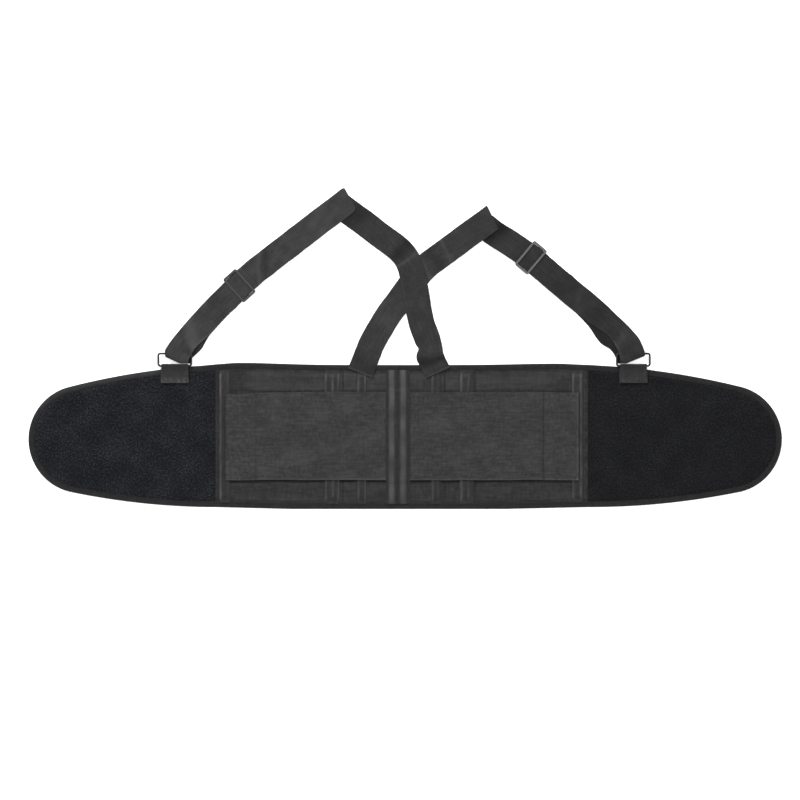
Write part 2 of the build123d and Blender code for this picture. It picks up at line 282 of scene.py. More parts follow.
# ---------------------------------------------------------------- the belt's outline
def tip_start(side, upper):
    sign = SIDES[side]
    rise = TIP_RADIUS * math.cos(TIP_TURN) * (1 if upper else -1)
    return TIP[side] - sign * TIP_RADIUS * (1 - math.sin(TIP_TURN)), TIP_CENTRE_Y + rise


def edge_y(side, x, upper):
    """The belt's edge at a place across it."""
    x = np.asarray(x, float)
    sign, up = SIDES[side], 1 if upper else -1
    level = TOP if upper else BOTTOM
    along = np.clip((np.abs(x) - FOLD) / (abs(SEAM[side]) - FOLD), 0, 1)
    lift = 0 if upper else SEAM_LIFT
    belt = level + lift * along
    end_x, end_y = tip_start(side, upper)
    t = np.clip((x - SEAM[side]) / (end_x - SEAM[side]), 0, 1)
    start_y = level + lift
    run = math.hypot(end_x - SEAM[side], end_y - start_y)
    wing = start_y + (end_y - start_y) * t + up * 4 * WING_BULGE * run * t * (1 - t)
    from_centre = x - (TIP[side] - sign * TIP_RADIUS)
    tip = TIP_CENTRE_Y + up * np.sqrt(np.clip(TIP_RADIUS ** 2 - from_centre ** 2, 0, None))
    edge = np.where(np.abs(x) <= abs(SEAM[side]), belt, np.where(np.abs(x) <= abs(end_x), wing, tip))
    spread = np.where(np.abs(x) < FULLEST, 82 * MM, 34 * MM)
    return edge + (FULLNESS[side] * bump(np.abs(x), FULLEST, spread) if upper else 0)


def belt_edge(side, upper, step):
    """Points along one long edge from the middle of the back to the wing's seam."""
    x = np.linspace(0, SEAM[side], round(abs(SEAM[side]) / step) + 1)
    return np.stack([x, edge_y(side, x, upper)], 1)


def wing_edge(side, step):
    """Points round the wing, from the top of its seam to the bottom."""
    sign = SIDES[side]
    end_x, _ = tip_start(side, True)
    count = round(abs(end_x - SEAM[side]) / step) + 1
    x = np.linspace(SEAM[side], end_x, count)
    upper = np.stack([x, edge_y(side, x, True)], 1)
    turn = np.linspace(math.pi / 2 - TIP_TURN, -math.pi / 2 + TIP_TURN, round(TIP_RADIUS * 2.7 / step))[1:-1]
    centre_x = TIP[side] - sign * TIP_RADIUS
    tip = np.stack([centre_x + sign * TIP_RADIUS * np.cos(turn), TIP_CENTRE_Y + TIP_RADIUS * np.sin(turn)], 1)
    lower = np.stack([x[::-1], edge_y(side, x[::-1], False)], 1)
    return np.concatenate([upper, tip, lower])


def inset_from(line, points):
    """How far each point is from an outline."""
    starts, runs = line[:-1], np.diff(line, axis=0)
    best = np.full(len(points), np.inf)
    for start, run in zip(starts, runs):
        t = np.clip(((points - start) @ run) / (run @ run), 0, 1)
        best = np.minimum(best, np.linalg.norm(points - start - t[:, None] * run, axis=1))
    return best


# ---------------------------------------------------------------- transforms baked into the points
def over_fold(obj):
    """Cloth of the back near where the side starts to wrap: its transform is baked into its points; it does
    not bend.
    """
    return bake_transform(obj)


def over_seam(obj):
    """Cloth of the wing just past its seam: its transform is baked into its points; it does not bend."""
    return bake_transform(obj)


def strap_over_seam(obj):
    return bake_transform(obj)


def pull_over_fold(obj):
    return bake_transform(obj)


# ---------------------------------------------------------------- stitching
THREAD = 0.32 * MM  # radius
FINE_PITCH = 2.6 * MM
WEB_PITCH = 2.4 * MM
STITCH_AROUND = 6
# One stitch: place along it from -1 to 1, size of its section and height, both in thread radii
STITCH_SHAPE = [(-1.0, 0.25, -0.5), (-0.72, 0.8, 0.25), (0.0, 1.0, 0.6), (0.72, 0.8, 0.25), (1.0, 0.25, -0.5)]
stitch_groups = {}


def sew(group, line, pitch=WEB_PITCH, share=0.72):
    """A row of lockstitches along a line of surface points."""
    line = np.asarray(line, float)
    total = lengths(line)[-1]
    count = int(total // pitch)
    if count < 1:
        return
    centre = (np.arange(count) + 0.5) * total / count
    half = share * pitch / 2
    middle = places_along(line, centre)
    ahead = unit(places_along(line, centre + half) - places_along(line, centre - half))
    across = unit(np.cross(ahead, [0, 0, 1.0]))
    up = np.cross(across, ahead)
    rings = []
    for run, size, height in STITCH_SHAPE:
        for turn in np.linspace(0, 2 * math.pi, STITCH_AROUND, endpoint=False):
            rings.append(middle + ahead * run * half + across * (math.cos(turn) * size * THREAD)
                         + up * ((math.sin(turn) * size * 0.7 + height * 0.6) * THREAD))
    stitch_groups.setdefault(group, []).append(np.stack(rings, 1))


def stitch_objects(material):
    """One mesh of stitches for each group, riding as the cloth under it does."""
    for (name, ride, slot), batches in stitch_groups.items():
        points = np.concatenate(batches)
        faces = short_tubes(len(points), len(STITCH_SHAPE), STITCH_AROUND)
        obj = mesh_object(f"{name}_stitching", points, faces, np.zeros((points.size // 3, 2)))
        dress(obj, material)
        ride(obj)


def riding(body):
    return lambda obj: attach(obj, body)


def groups_for(side):
    return {
        "belt": (f"{side}_belt", lambda obj: over_fold(obj), "binding"),
        "wing": (f"{side}_wing", lambda obj: over_seam(obj), "binding"),
        "pull": (f"{side}_pull", lambda obj: pull_over_fold(obj), "pull_elastic"),
        "tab": (f"{side}_tab", riding(f"{side}_wing"), "webbing"),
        "end": (f"{side}_end_channel", riding(f"{side}_side"), "elastic"),
    }


GROUPS = {side: groups_for(side) for side in SIDES}
BACK_GROUP = ("back", riding("back"), "elastic")


# ---------------------------------------------------------------- materials
WAVE_UNIT = 2 * math.pi / 20  # a wave texture of scale 1 repeats over this length


class Shader:
    """A new material and short ways to add the nodes it needs."""

    def __init__(self, name):
        self.material = bpy.data.materials.new(name)
        self.material.use_nodes = True
        self.nodes = self.material.node_tree.nodes
        self.links = self.material.node_tree.links
        self.surface = self.nodes["Principled BSDF"]

    def put(self, socket, value):
        """Gives a socket a number, a colour or another node's output."""
        if isinstance(value, (int, float)):
            socket.default_value = value
        elif isinstance(value, tuple):
            socket.default_value = (*value, 1)[:4]
        else:
            self.links.new(value, socket)

    def set(self, values):
        for name, value in values.items():
            self.put(self.surface.inputs[name], value)

    def math(self, operation, first, second):
        node = self.nodes.new("ShaderNodeMath")
        node.operation = operation
        self.put(node.inputs[0], first)
        self.put(node.inputs[1], second)
        return node.outputs[0]

    def total(self, *parts):
        """Sum of values, each times its weight."""
        weighted = [self.math("MULTIPLY", value, weight) for value, weight in parts]
        result = weighted[0]
        for part in weighted[1:]:
            result = self.math("ADD", result, part)
        return result

    def place(self, scale=(1, 1, 1)):
        """The cloth's own map, in metres, times a scale."""
        place = self.nodes.new("ShaderNodeUVMap")
        place.uv_map = "UVMap"
        mapping = self.nodes.new("ShaderNodeMapping")
        mapping.inputs["Scale"].default_value = scale
        self.links.new(place.outputs["UV"], mapping.inputs["Vector"])
        return mapping.outputs["Vector"]

    def grain(self, scale, detail=3.0, rough=0.6):
        """Noise over the object's own space."""
        coords = self.nodes.new("ShaderNodeTexCoord")
        return self.noise(coords.outputs["Object"], scale, detail, rough)

    def noise(self, vector, scale, detail, rough):
        node = self.nodes.new("ShaderNodeTexNoise")
        node.inputs["Scale"].default_value = scale
        node.inputs["Detail"].default_value = detail
        node.inputs["Roughness"].default_value = rough
        self.links.new(vector, node.inputs["Vector"])
        return node.outputs["Fac"]

    def wave(self, vector, scale, direction):
        node = self.nodes.new("ShaderNodeTexWave")
        node.wave_type = "BANDS"
        node.bands_direction = direction
        node.inputs["Scale"].default_value = scale
        node.inputs["Distortion"].default_value = 0.6
        node.inputs["Detail"].default_value = 1.0
        node.inputs["Detail Scale"].default_value = 1.5
        self.links.new(vector, node.inputs["Vector"])
        return node.outputs["Fac"]

    def ramp(self, value, *stops):
        node = self.nodes.new("ShaderNodeValToRGB")
        while len(node.color_ramp.elements) < len(stops):
            node.color_ramp.elements.new(0.5)
        for element, (place, colour) in zip(node.color_ramp.elements, stops):
            element.position = place
            element.color = (*colour, 1)
        self.links.new(value, node.inputs["Fac"])
        return node.outputs["Color"]

    def mix(self, share, first, second):
        node = self.nodes.new("ShaderNodeMix")
        node.data_type = "RGBA"
        for index, value in ((0, share), (6, first), (7, second)):
            self.put(node.inputs[index], value)
        return node.outputs[2]

    def bump(self, height, distance):
        node = self.nodes.new("ShaderNodeBump")
        node.inputs["Distance"].default_value = distance
        node.inputs["Strength"].default_value = 1.0
        self.links.new(height, node.inputs["Height"])
        self.links.new(node.outputs["Normal"], self.surface.inputs["Normal"])


def tinted(colour, share):
    return tuple(c * share for c in colour)


def woven(name, colour, pitch, streak, contrast=0.2, depth=0.3 * MM, light=2.2):
    """Woven cloth: ribs both ways at its yarn pitch, streaks both ways, slubs, and the mesh's painted light
    and wear: lighter for painted highlights and wear, darker for painted shade and shadows.
    """
    shader = Shader(name)
    place = shader.place()
    across = shader.wave(place, WAVE_UNIT / pitch[0], "X")
    along = shader.wave(place, WAVE_UNIT / pitch[1], "Y")
    weave = shader.math("MULTIPLY", across, along)
    warp = shader.noise(shader.place(streak), 1.0, 4.0, 0.6)
    weft = shader.noise(shader.place((streak[1] * 0.9, streak[0] * 2.5, 1)), 1.0, 3.0, 0.6)
    streaks = shader.total((warp, 0.55), (weft, 0.45))
    mottle = shader.noise(place, 70, 4.0, 0.6)
    fine = shader.noise(place, 900, 2.0, 0.6)
    total = shader.total((weave, 0.3), (streaks, 0.42), (mottle, 0.14), (fine, 0.14))
    spread = 2.6 * contrast
    dark, pale = tinted(colour, 1 - spread), tinted(colour, 1 + spread)
    base = shader.ramp(total, (0.34, dark), (0.5, colour), (0.66, pale))
    # Painted light and wear from the mesh: above zero lighter (painted highlights, and wear), below zero
    # darker (painted shade and shadows).
    painted_light_and_wear = shader.nodes.new("ShaderNodeAttribute")
    painted_light_and_wear.attribute_name = "painted_light_and_wear"
    lighter = shader.math("MAXIMUM", painted_light_and_wear.outputs["Fac"], 0.0)
    darker = shader.math("MAXIMUM", shader.math("MULTIPLY", painted_light_and_wear.outputs["Fac"], -1.0), 0.0)
    shading_and_wear = shader.mix(lighter, base, tinted(colour, light))
    shading_and_wear = shader.mix(darker, shading_and_wear, tinted(colour, 0.1))
    shader.set({"Base Color": shading_and_wear, "Roughness": 0.85, "Specular IOR Level": 0.1, "Sheen Weight": 0.05,
                "Sheen Roughness": 0.5})
    shader.bump(shader.math("ADD", weave, shader.math("MULTIPLY", fine, 0.5)), depth)
    return shader.material


def pile_cloth(name, colour, light_share):
    """Loop pile: matted tufts with lighter broken fibres."""
    shader = Shader(name)
    place = shader.place()
    tuft = shader.noise(place, 420, 3.0, 0.7)
    patch = shader.noise(place, 28, 5.0, 0.65)
    fibre = shader.noise(place, 1100, 2.0, 0.7)
    base = shader.ramp(shader.total((tuft, 0.5), (patch, 0.14), (fibre, 0.36)), (0.41, tinted(colour, 0.3)),
                       (0.5, tinted(colour, 0.85)), (0.6, tinted(colour, light_share)))
    shader.set({"Base Color": base, "Roughness": 0.95, "Specular IOR Level": 0.06, "Sheen Weight": 0.03,
                "Sheen Roughness": 0.6})
    shader.bump(shader.math("ADD", tuft, fibre), 0.9 * MM)
    return shader.material


def coated_metal(name, colour, rough):
    """Black-coated wire or plate, brighter at its sharp edges: partly a worn coat, partly a painted
    highlight.
    """
    shader = Shader(name)
    grain = shader.grain(420, 4.0)
    edge = shader.nodes.new("ShaderNodeNewGeometry")
    # Brighter on sharp edges: partly a worn coat, partly a painted highlight.
    pointed = shader.ramp(edge.outputs["Pointiness"], (0.5, (0, 0, 0)), (0.58, (1, 1, 1)))
    base = shader.ramp(grain, (0.3, tinted(colour, 0.7)), (0.7, tinted(colour, 1.35)))
    roughness = shader.nodes.new("ShaderNodeMapRange")
    roughness.inputs["To Min"].default_value = rough - 0.08
    roughness.inputs["To Max"].default_value = rough + 0.14
    shader.links.new(grain, roughness.inputs["Value"])
    shader.set({"Base Color": shader.mix(pointed, base, tinted(colour, 3.2)), "Metallic": 0.55,
                "Roughness": roughness.outputs["Result"]})
    shader.bump(grain, 0.04 * MM)
    return shader.material


def plain_grain(name, colour, scale, rough):
    """Moulded plastic or thread with a fine grain."""
    shader = Shader(name)
    grain = shader.grain(scale)
    base = shader.ramp(grain, (0.3, tinted(colour, 0.75)), (0.7, tinted(colour, 1.3)))
    shader.set({"Base Color": base, "Roughness": rough, "Metallic": 0.0})
    shader.bump(grain, 0.08 * MM)
    return shader.material


def dress(obj, material):
    obj.data.materials.clear()
    obj.data.materials.append(material)


# ---------------------------------------------------------------- belt
BELT_SEAMS = {"left": [-80.3 * MM], "right": [68.0 * MM, 112.6 * MM]}  # lines of stitches beside the channels
TOP_END_SHADE = {"left": 0.34, "right": 0.1}  # how much darker the top band is near the wing
EDGE_STRIP_DARKENING = {"left": -0.3, "right": -0.2}  # how much darker the narrow strip beside the wing's seam is made


def belt_cloth(side, material):
    """Woven elastic of one half of the back and its side, thinned where the binding grips it."""
    seam = abs(SEAM[side])
    x = np.concatenate([spaced(0, seam, 2.5 * MM, 2 * MM)]
                       + [abs(place) + np.linspace(-1.8, 1.8, 9) * MM for place in BELT_SEAMS[side]]
                       + [seam - np.linspace(0.5, 5.5, 9) * MM])
    x = np.unique(x.round(6)) * SIDES[side]
    t = spaced(0, 1, 1 / 84, 0.01)
    inside = 1.2 * MM  # from the belt's edge to the elastic's own edge
    low, high = edge_y(side, x, False) + inside, edge_y(side, x, True) - inside
    xs = np.broadcast_to(x, (len(t), len(x)))
    ys = low + (high - low) * t[:, None]
    out = np.abs(xs)
    inset = np.minimum(ys - low, high - ys) + inside
    gripped = step_up(inset, BAND - 1.5 * MM, BAND + 4 * MM)
    wave = (0.12 * MM * swell(xs, ys, 0.05, 11) + 0.05 * MM * swell(0.3 * xs, ys, 0.012, 13)) * gripped
    edge_top = 1.35 * MM
    top = edge_top + (ELASTIC_TOP - edge_top) * gripped + wave
    # Painted shade in a band just inside the binding's raised edge, and a faint random tone.
    painted_light_and_wear = -0.35 * bump(inset, BAND + 1.2 * MM, 1.4 * MM) + 0.06 * swell(0.15 * xs, ys, 0.02, 15)
    band = 0.12 - TOP_END_SHADE[side] * step_up(out, 205 * MM, 240 * MM)
    painted_light_and_wear = painted_light_and_wear + band * step_up(ys, 60 * MM, 72 * MM) * gripped
    # Each seam beside a channel is a groove, darkened with painted shade.
    for place in BELT_SEAMS[side]:
        groove = bump(xs, place, 0.9 * MM) * gripped
        top = top - 0.4 * MM * groove
        painted_light_and_wear = painted_light_and_wear - 0.5 * groove
    panel_low, panel_high = extent(f"{side}_pull_outer", 1)
    panel_end = abs(extent(f"{side}_pull_outer", 0)[0 if side == "left" else 1])
    beside = step_up(out, 16 * MM, 22 * MM) * (1 - step_up(out, panel_end, panel_end + 2 * MM))
    # Painted shadow on the belt along the pull panel's lower edge, weaker along its top, where the belt also
    # dips a little.
    indent_and_shadow = bump(ys, panel_low - 1.4 * MM, 1.7 * MM) + 0.45 * bump(ys, panel_high + 0.8 * MM, 1.2 * MM)
    top = top - 0.25 * MM * indent_and_shadow * beside
    painted_light_and_wear = painted_light_and_wear - 0.75 * indent_and_shadow * beside
    edge_strip = bump(out, seam - 2.8 * MM, 1.5 * MM) * gripped
    top = top + 0.5 * MM * edge_strip
    painted_light_and_wear = painted_light_and_wear + EDGE_STRIP_DARKENING[side] * edge_strip
    obj = slab(f"{side}_belt_elastic", xs, ys, top, 0.55 * MM * (1 - gripped), painted_light_and_wear)
    z = ELASTIC_TOP - 0.25 * MM
    for place in BELT_SEAMS[side]:
        ends = (place, BOTTOM + BAND + 2 * MM, z), (place, TOP - BAND - 2 * MM, z)
        sew(BACK_GROUP, np.linspace(*ends, 90), FINE_PITCH)
    dress(obj, material)
    nodes = [f"{side}_side_elastic"] + (["back_elastic"] if side == "left" else [])
    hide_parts(*nodes)
    return over_fold(obj)


# Section of the binding, a flattened U that opens inward: how far in from the edge as a share of its width,
# height in millimetres for a binding 1.9 mm high, and how much it puckers
BINDING_SECTION = [(1.0, 1.42, 0), (1.0, 1.75, 0.5), (0.93, 1.98, 1), (0.8, 1.8, 0.2), (0.66, 2.05, 1),
                   (0.4, 2.1, 1), (0.16, 2.0, 1), (0.05, 1.7, 0.6), (0.0, 1.15, 0), (0.03, 0.5, 0),
                   (0.12, 0.12, 0), (0.3, 0.02, 0), (0.7, 0.02, 0), (0.95, 0.06, 0), (1.0, 0.3, 0),
                   (0.98, 0.5, 0), (0.6, 0.52, 0), (0.14, 0.6, 0), (0.1, 0.95, 0), (0.14, 1.3, 0),
                   (0.6, 1.38, 0)]
PUCKER_LENGTH = 6.5 * MM


def binding_rings(line, seed):
    """Folded tape round an edge: lighter along its outer side (partly wear, partly a painted highlight),
    darker along its stitched dip (painted shade), and lighter at the upper left wing (painted light).
    """
    ahead = np.gradient(line, axis=0)
    inward = unit(np.stack([ahead[:, 1], -ahead[:, 0]], 1))
    along = lengths(line)
    pucker = 0.10 * MM * np.sin(2 * math.pi * along / PUCKER_LENGTH) + 0.14 * MM * ripple(along, 0.03, seed)
    width = BAND + 0.35 * MM * ripple(along, 0.045, seed + 1)
    upper_left = step_up(line[:, 1], 20 * MM, 60 * MM) * step_up(-line[:, 0], 280 * MM, 330 * MM)
    rings, uv, painted_light_and_wear = [], [], []
    for share, height, puckered in BINDING_SECTION:
        point = line + inward * (share * width)[:, None]
        z = height / 1.9 * BINDING_TOP + pucker * puckered
        rings.append(np.concatenate([point, np.maximum(z, 0)[:, None]], 1))
        uv.append(np.stack([along, np.full(len(along), share * BAND)], 1))
        # Outer side lighter (partly wear, partly a painted highlight), the stitched dip darker (painted
        # shade), the upper left wing lighter (painted light).
        shading_and_wear = (0.3 * bump(share, 0.03, 0.1) - 0.4 * bump(share, 0.8, 0.1)) * (height > 1)
        shading_and_wear = shading_and_wear + 0.28 * upper_left * (0.1 < share < 0.9)
        painted_light_and_wear.append(shading_and_wear * (1 + 0.3 * ripple(along, 0.02, seed + 2)))
    return np.stack(rings, 1), np.stack(uv, 1), np.stack(painted_light_and_wear, 1), inward, width


def binding(name, line, seed, material, group, nodes, blend):
    rings, uv, painted_light_and_wear, inward, width = binding_rings(line, seed)
    obj = swept(name, rings, uv, painted_light_and_wear=painted_light_and_wear)
    dress(obj, material)
    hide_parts(*nodes)
    blend(obj)
    seam = line + inward * (0.8 * width)[:, None]
    sew(group, np.concatenate([seam, np.full((len(seam), 1), BINDING_TOP - 0.05 * MM)], 1), 2.8 * MM)


def belt_bindings(side, material):
    sign = SIDES[side]
    for upper in (True, False):
        line = belt_edge(side, upper, LINE_STEP)
        if (sign > 0) != upper:
            line = line[::-1]
        edge = "top" if upper else "bottom"
        nodes = [f"{side}_side_{edge}_binding"] + ([f"back_{edge}_binding"] if side == "left" else [])
        binding(f"{side}_belt_{edge}_binding", line, 31 + upper, material, GROUPS[side]["belt"], nodes,
                lambda obj: over_fold(obj))


def wing_binding(side, material):
    line = wing_edge(side, LINE_STEP)
    if SIDES[side] < 0:
        line = line[::-1]
    binding(f"{side}_wing_binding_tape", line, 41 + SIDES[side], material, GROUPS[side]["wing"],
            [f"{side}_wing_binding"], lambda obj: over_seam(obj))


def wing_grid(side, step, inset):
    """Grid of places over a wing, drawn in from its edge, with each one's distance from that edge."""
    sign = SIDES[side]
    length = abs(TIP[side] - SEAM[side]) - inset
    tip_share = TIP_RADIUS / length
    straight = np.linspace(0, 1 - tip_share, round((1 - tip_share) * length / step), endpoint=False)
    curve = 1 - tip_share + tip_share * np.sin(np.linspace(0, math.pi / 2, round(1.5 * TIP_RADIUS / step)))
    x = SEAM[side] + sign * np.concatenate([straight, curve]) * length
    from_centre = x - (TIP[side] - sign * TIP_RADIUS)
    half = np.sqrt(np.clip((TIP_RADIUS - inset) ** 2 - from_centre ** 2, 0, None))
    past = sign * from_centre > 0
    half = np.where(past, np.maximum(half, 0.02 * MM), half)
    low, high = edge_y(side, x, False) + inset, edge_y(side, x, True) - inset
    low = np.where(past, np.maximum(low, TIP_CENTRE_Y - half), low)
    high = np.where(past, np.minimum(high, TIP_CENTRE_Y + half), high)
    low = np.minimum(low, high - 0.02 * MM)
    rows = round((TOP - BOTTOM) / step)
    t = spaced(0, 1, 1 / rows, 0.5 / rows)
    xs = np.broadcast_to(x, (len(t), len(x))).copy()
    ys = low + (high - low) * t[:, None]
    places = np.stack([xs.ravel(), ys.ravel()], 1)
    return xs, ys, inset_from(wing_edge(side, 3 * MM), places).reshape(xs.shape)


def wing_pad(side, material):
    """Foam wing faced with loop pile, crowned and pinched down into its binding."""
    xs, ys, inset = wing_grid(side, 1.25 * MM, 2 * MM)
    sign = SIDES[side]
    rough = 1.0 if side == "left" else 0.55
    pinched = step_up(inset, BAND - 2.5 * MM, BAND + 5 * MM)
    sewn = step_up(sign * (xs - SEAM[side]), 0, 5 * MM) * 0.55 + 0.45
    tufts = np.random.default_rng(5 + sign).normal(0, 1, xs.shape)
    matted = swell(xs, ys, 0.006, 51 + sign, 12)
    dents = swell(xs, ys, 0.035, 61 + sign, 8)
    relief = (0.10 * tufts + 0.13 * matted) * rough + 0.14 * dents
    edge_top = 1.3 * MM
    top = edge_top + (WING_TOP - 0.35 * MM - edge_top) * pinched * sewn + MM * relief * pinched
    bottom = np.where(inset < BAND - 1 * MM, 0.6 * MM, LINING_TOP + 0.05 * MM)
    obj = slab(f"{side}_wing_pad", xs, ys, np.minimum(top, WING_TOP + 0.25 * MM), bottom)
    dress(obj, material)
    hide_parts(f"{side}_wing_pile", f"{side}_wing_foam")
    return over_seam(obj)


def wing_lining(side, material):
    """Smooth lining on the wearer's side of the wing, with room for the hooks on the right one."""
    xs, ys, _ = wing_grid(side, 3 * MM, BAND)
    inside = np.full(xs.shape, -1.0)
    if side == "right":
        low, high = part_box("right_wing_closure_hook")
        inside = np.minimum(np.minimum(xs - low.x, high.x - xs), np.minimum(ys - low.y, high.y - ys))
    bottom = 0.08 * MM + 0.025 * MM * swell(xs, ys, 0.03, 71) + 0.3 * MM * step_up(inside, -1 * MM, 1 * MM)
    obj = slab(f"{side}_wing_lining_cloth", xs, ys, LINING_TOP, bottom)
    dress(obj, material)
    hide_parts(f"{side}_wing_lining")
    return over_seam(obj)


# One hook: how far its stem leans in millimetres, its height as a share of the drop, and its thickness
HOOK_SHAPE = [(0.0, 0.0, 0.26), (0.016, -0.45, 0.2), (0.144, -0.9, 0.17), (0.4, -0.97, 0.14),
              (0.496, -0.7, 0.1)]
HOOK_AROUND = 4


def hook_patch(name, node, body, material):
    """Hook tape: a thin moulded base with rows of small bent hooks underneath."""
    low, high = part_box(node)
    inset = 0.4 * MM
    xs, ys = np.meshgrid(spaced(low.x + inset, high.x - inset, 6 * MM, 1 * MM),
                         spaced(low.y + inset, high.y - inset, 6 * MM, 1 * MM))
    base_z = high.z - (high.z - low.z) * 0.4
    base = slab(name, xs, ys, high.z - 0.02 * MM, base_z)
    hx, hy = np.meshgrid(np.arange(low.x + 1.6 * MM, high.x - 1.4 * MM, 1.7 * MM),
                         np.arange(low.y + 1.6 * MM, high.y - 1.4 * MM, 1.4 * MM))
    hx = hx + np.where(np.arange(hx.shape[0])[:, None] % 2, 0.8 * MM, 0)
    hx, hy = hx.ravel(), hy.ravel()
    rings = []
    for lean, down, thick in HOOK_SHAPE:
        z = np.full(hx.shape, base_z + down * (base_z - low.z))
        for a in np.linspace(0, 2 * math.pi, HOOK_AROUND, endpoint=False):
            x, y = hx + (lean + math.cos(a) * thick) * MM, hy + math.sin(a) * thick * MM
            rings.append(np.stack([x, y, z], 1))
    points = np.stack(rings, 1)
    faces = short_tubes(len(points), len(HOOK_SHAPE), HOOK_AROUND)
    hooks = mesh_object(name + "_hooks", points, faces, np.zeros((points.size // 3, 2)))
    for obj in (base, hooks):
        dress(obj, material)
        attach(obj, body)
    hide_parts(node)


def channel_tape(node, ridges, material, body):
    """A tape sewn down over its stay, with a ridge where each edge of the stay pushes up, a painted highlight
    along each ridge and at the stay's top end, and painted shadow along the tape's edges.
    """
    low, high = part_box(node)
    middle = (low.x + high.x) / 2
    xs, ys = np.meshgrid(spaced(low.x, high.x, 0.8 * MM, 0.5 * MM),
                         spaced(low.y - 1 * MM, high.y + 1 * MM, 2.5 * MM, 1 * MM))
    edge = np.minimum(xs - low.x, high.x - xs)
    rise, painted_light_and_wear = np.zeros(xs.shape), np.zeros(xs.shape)
    end_fade = step_up(np.minimum(ys - low.y, high.y - ys), 1 * MM, 7 * MM)
    lit = (0.6 + 0.55 * step_up(ys, high.y - 42 * MM, high.y - 6 * MM)
           + 0.2 * (1 - step_up(ys, low.y, low.y + 40 * MM))) * (0.75 + 0.25 * swell(xs, ys, 0.02, 17))
    for place, width, amount in ridges:
        shape = bump(xs, place + 0.25 * MM * ripple(ys, 0.06, 7), width)
        rise = np.maximum(rise, shape * end_fade)
        # Painted highlight along each ridge, stronger towards the top.
        painted_light_and_wear = np.maximum(painted_light_and_wear, shape ** 1.5 * amount * end_fade * lit)
    strong = [place for place, _, amount in ridges if amount > 0.5]
    if len(strong) > 1:
        first, last = min(strong), max(strong)
        between = step_up(xs, first - 1 * MM, first) * (1 - step_up(xs, last, last + 1 * MM))
        # The stay's top end pushes the tape up and gets a painted highlight.
        stay_end = between * bump(ys, high.y - 6.5 * MM, 1.5 * MM) * (0.7 + 0.3 * swell(xs, ys, 0.006, 27))
        rise = np.maximum(rise, 0.8 * stay_end)
        painted_light_and_wear = np.maximum(painted_light_and_wear, 0.85 * stay_end)
    outside = np.abs(xs - middle) > 8 * MM
    # Painted shadow along the tape's edges.
    painted_light_and_wear = painted_light_and_wear - 0.42 * bump(edge, 0.3 * MM, 0.8 * MM) * (1 - painted_light_and_wear) * (1 - outside * rise)
    painted_light_and_wear = painted_light_and_wear - 0.8 * bump(ys, low.y + 6 * MM, 2.4 * MM) * bump(xs, middle, 4 * MM)
    flat = ELASTIC_TOP + 0.45 * MM
    over_stay = 1 - step_up(np.abs(xs - middle), 3.2 * MM, 5.2 * MM)
    level = flat + (STAY_COVER - flat) * over_stay
    top = level + (high.z - level) * rise + 0.04 * MM * swell(xs, ys, 0.012, 21)
    rim = ELASTIC_TOP - 0.1 * MM
    top = rim + (top - rim) * rounded(edge + 0.05 * MM, 0.6 * MM)
    obj = slab(f"{node}_tape", xs, ys, top, ELASTIC_TOP - 0.15 * MM, np.clip(painted_light_and_wear * 0.6, -1, 1), turned=True)
    dress(obj, material)
    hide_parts(node)
    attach(obj, body)
    return low, high, flat


# Ridges of each channel: place from its middle and width in millimetres, and how strong its painted highlight
# is
CHANNEL_RIDGES = {
    ("left", "inner"): [(-4.3, 2.0, 0.95), (5.9, 1.8, 0.75)],
    ("left", "outer"): [(-9.4, 1.9, 0.85), (1.0, 1.8, 0.85), (9.3, 1.7, 0.75)],
    ("right", "inner"): [(-5.3, 2.4, 0.85), (3.0, 1.6, 0.25)],
    ("right", "outer"): [(-7.2, 2.2, 1.0), (3.4, 2.0, 0.6)],
    ("left", "end"): [(-6.1, 1.6, 1.35), (4.4, 1.6, 0.3)],
    ("right", "end"): [(-7.2, 2.0, 1.05), (4.4, 2.0, 1.0)],
}


def side_channels(side, material):
    for kind in ("inner", "outer", "end"):
        node = f"{side}_{kind}_channel"
        middle = extent_middle(node)
        ridges = [(middle + place * MM, width * MM, amount)
                  for place, width, amount in CHANNEL_RIDGES[side, kind]]
        group = GROUPS[side]["end"] if kind == "end" else BACK_GROUP
        body = f"{side}_side" if kind == "end" else "back"
        low, high, flat = channel_tape(node, ridges, material, body)
        for x in (low.x + 1.0 * MM, high.x - 1.0 * MM):
            ends = [(x, low.y + 2 * MM, flat), (x, high.y - 2 * MM, flat)]
            sew(group, smooth_curve(ends, 4 * MM), FINE_PITCH)
        for row in (1.2, 2.0, 2.8):
            y, z = low.y + (4 + row) * MM, flat + 0.2 * MM
            sew(group, np.linspace((middle - 3.2 * MM, y, z), (middle + 3.2 * MM, y, z), 6), 1.6 * MM, 0.9)


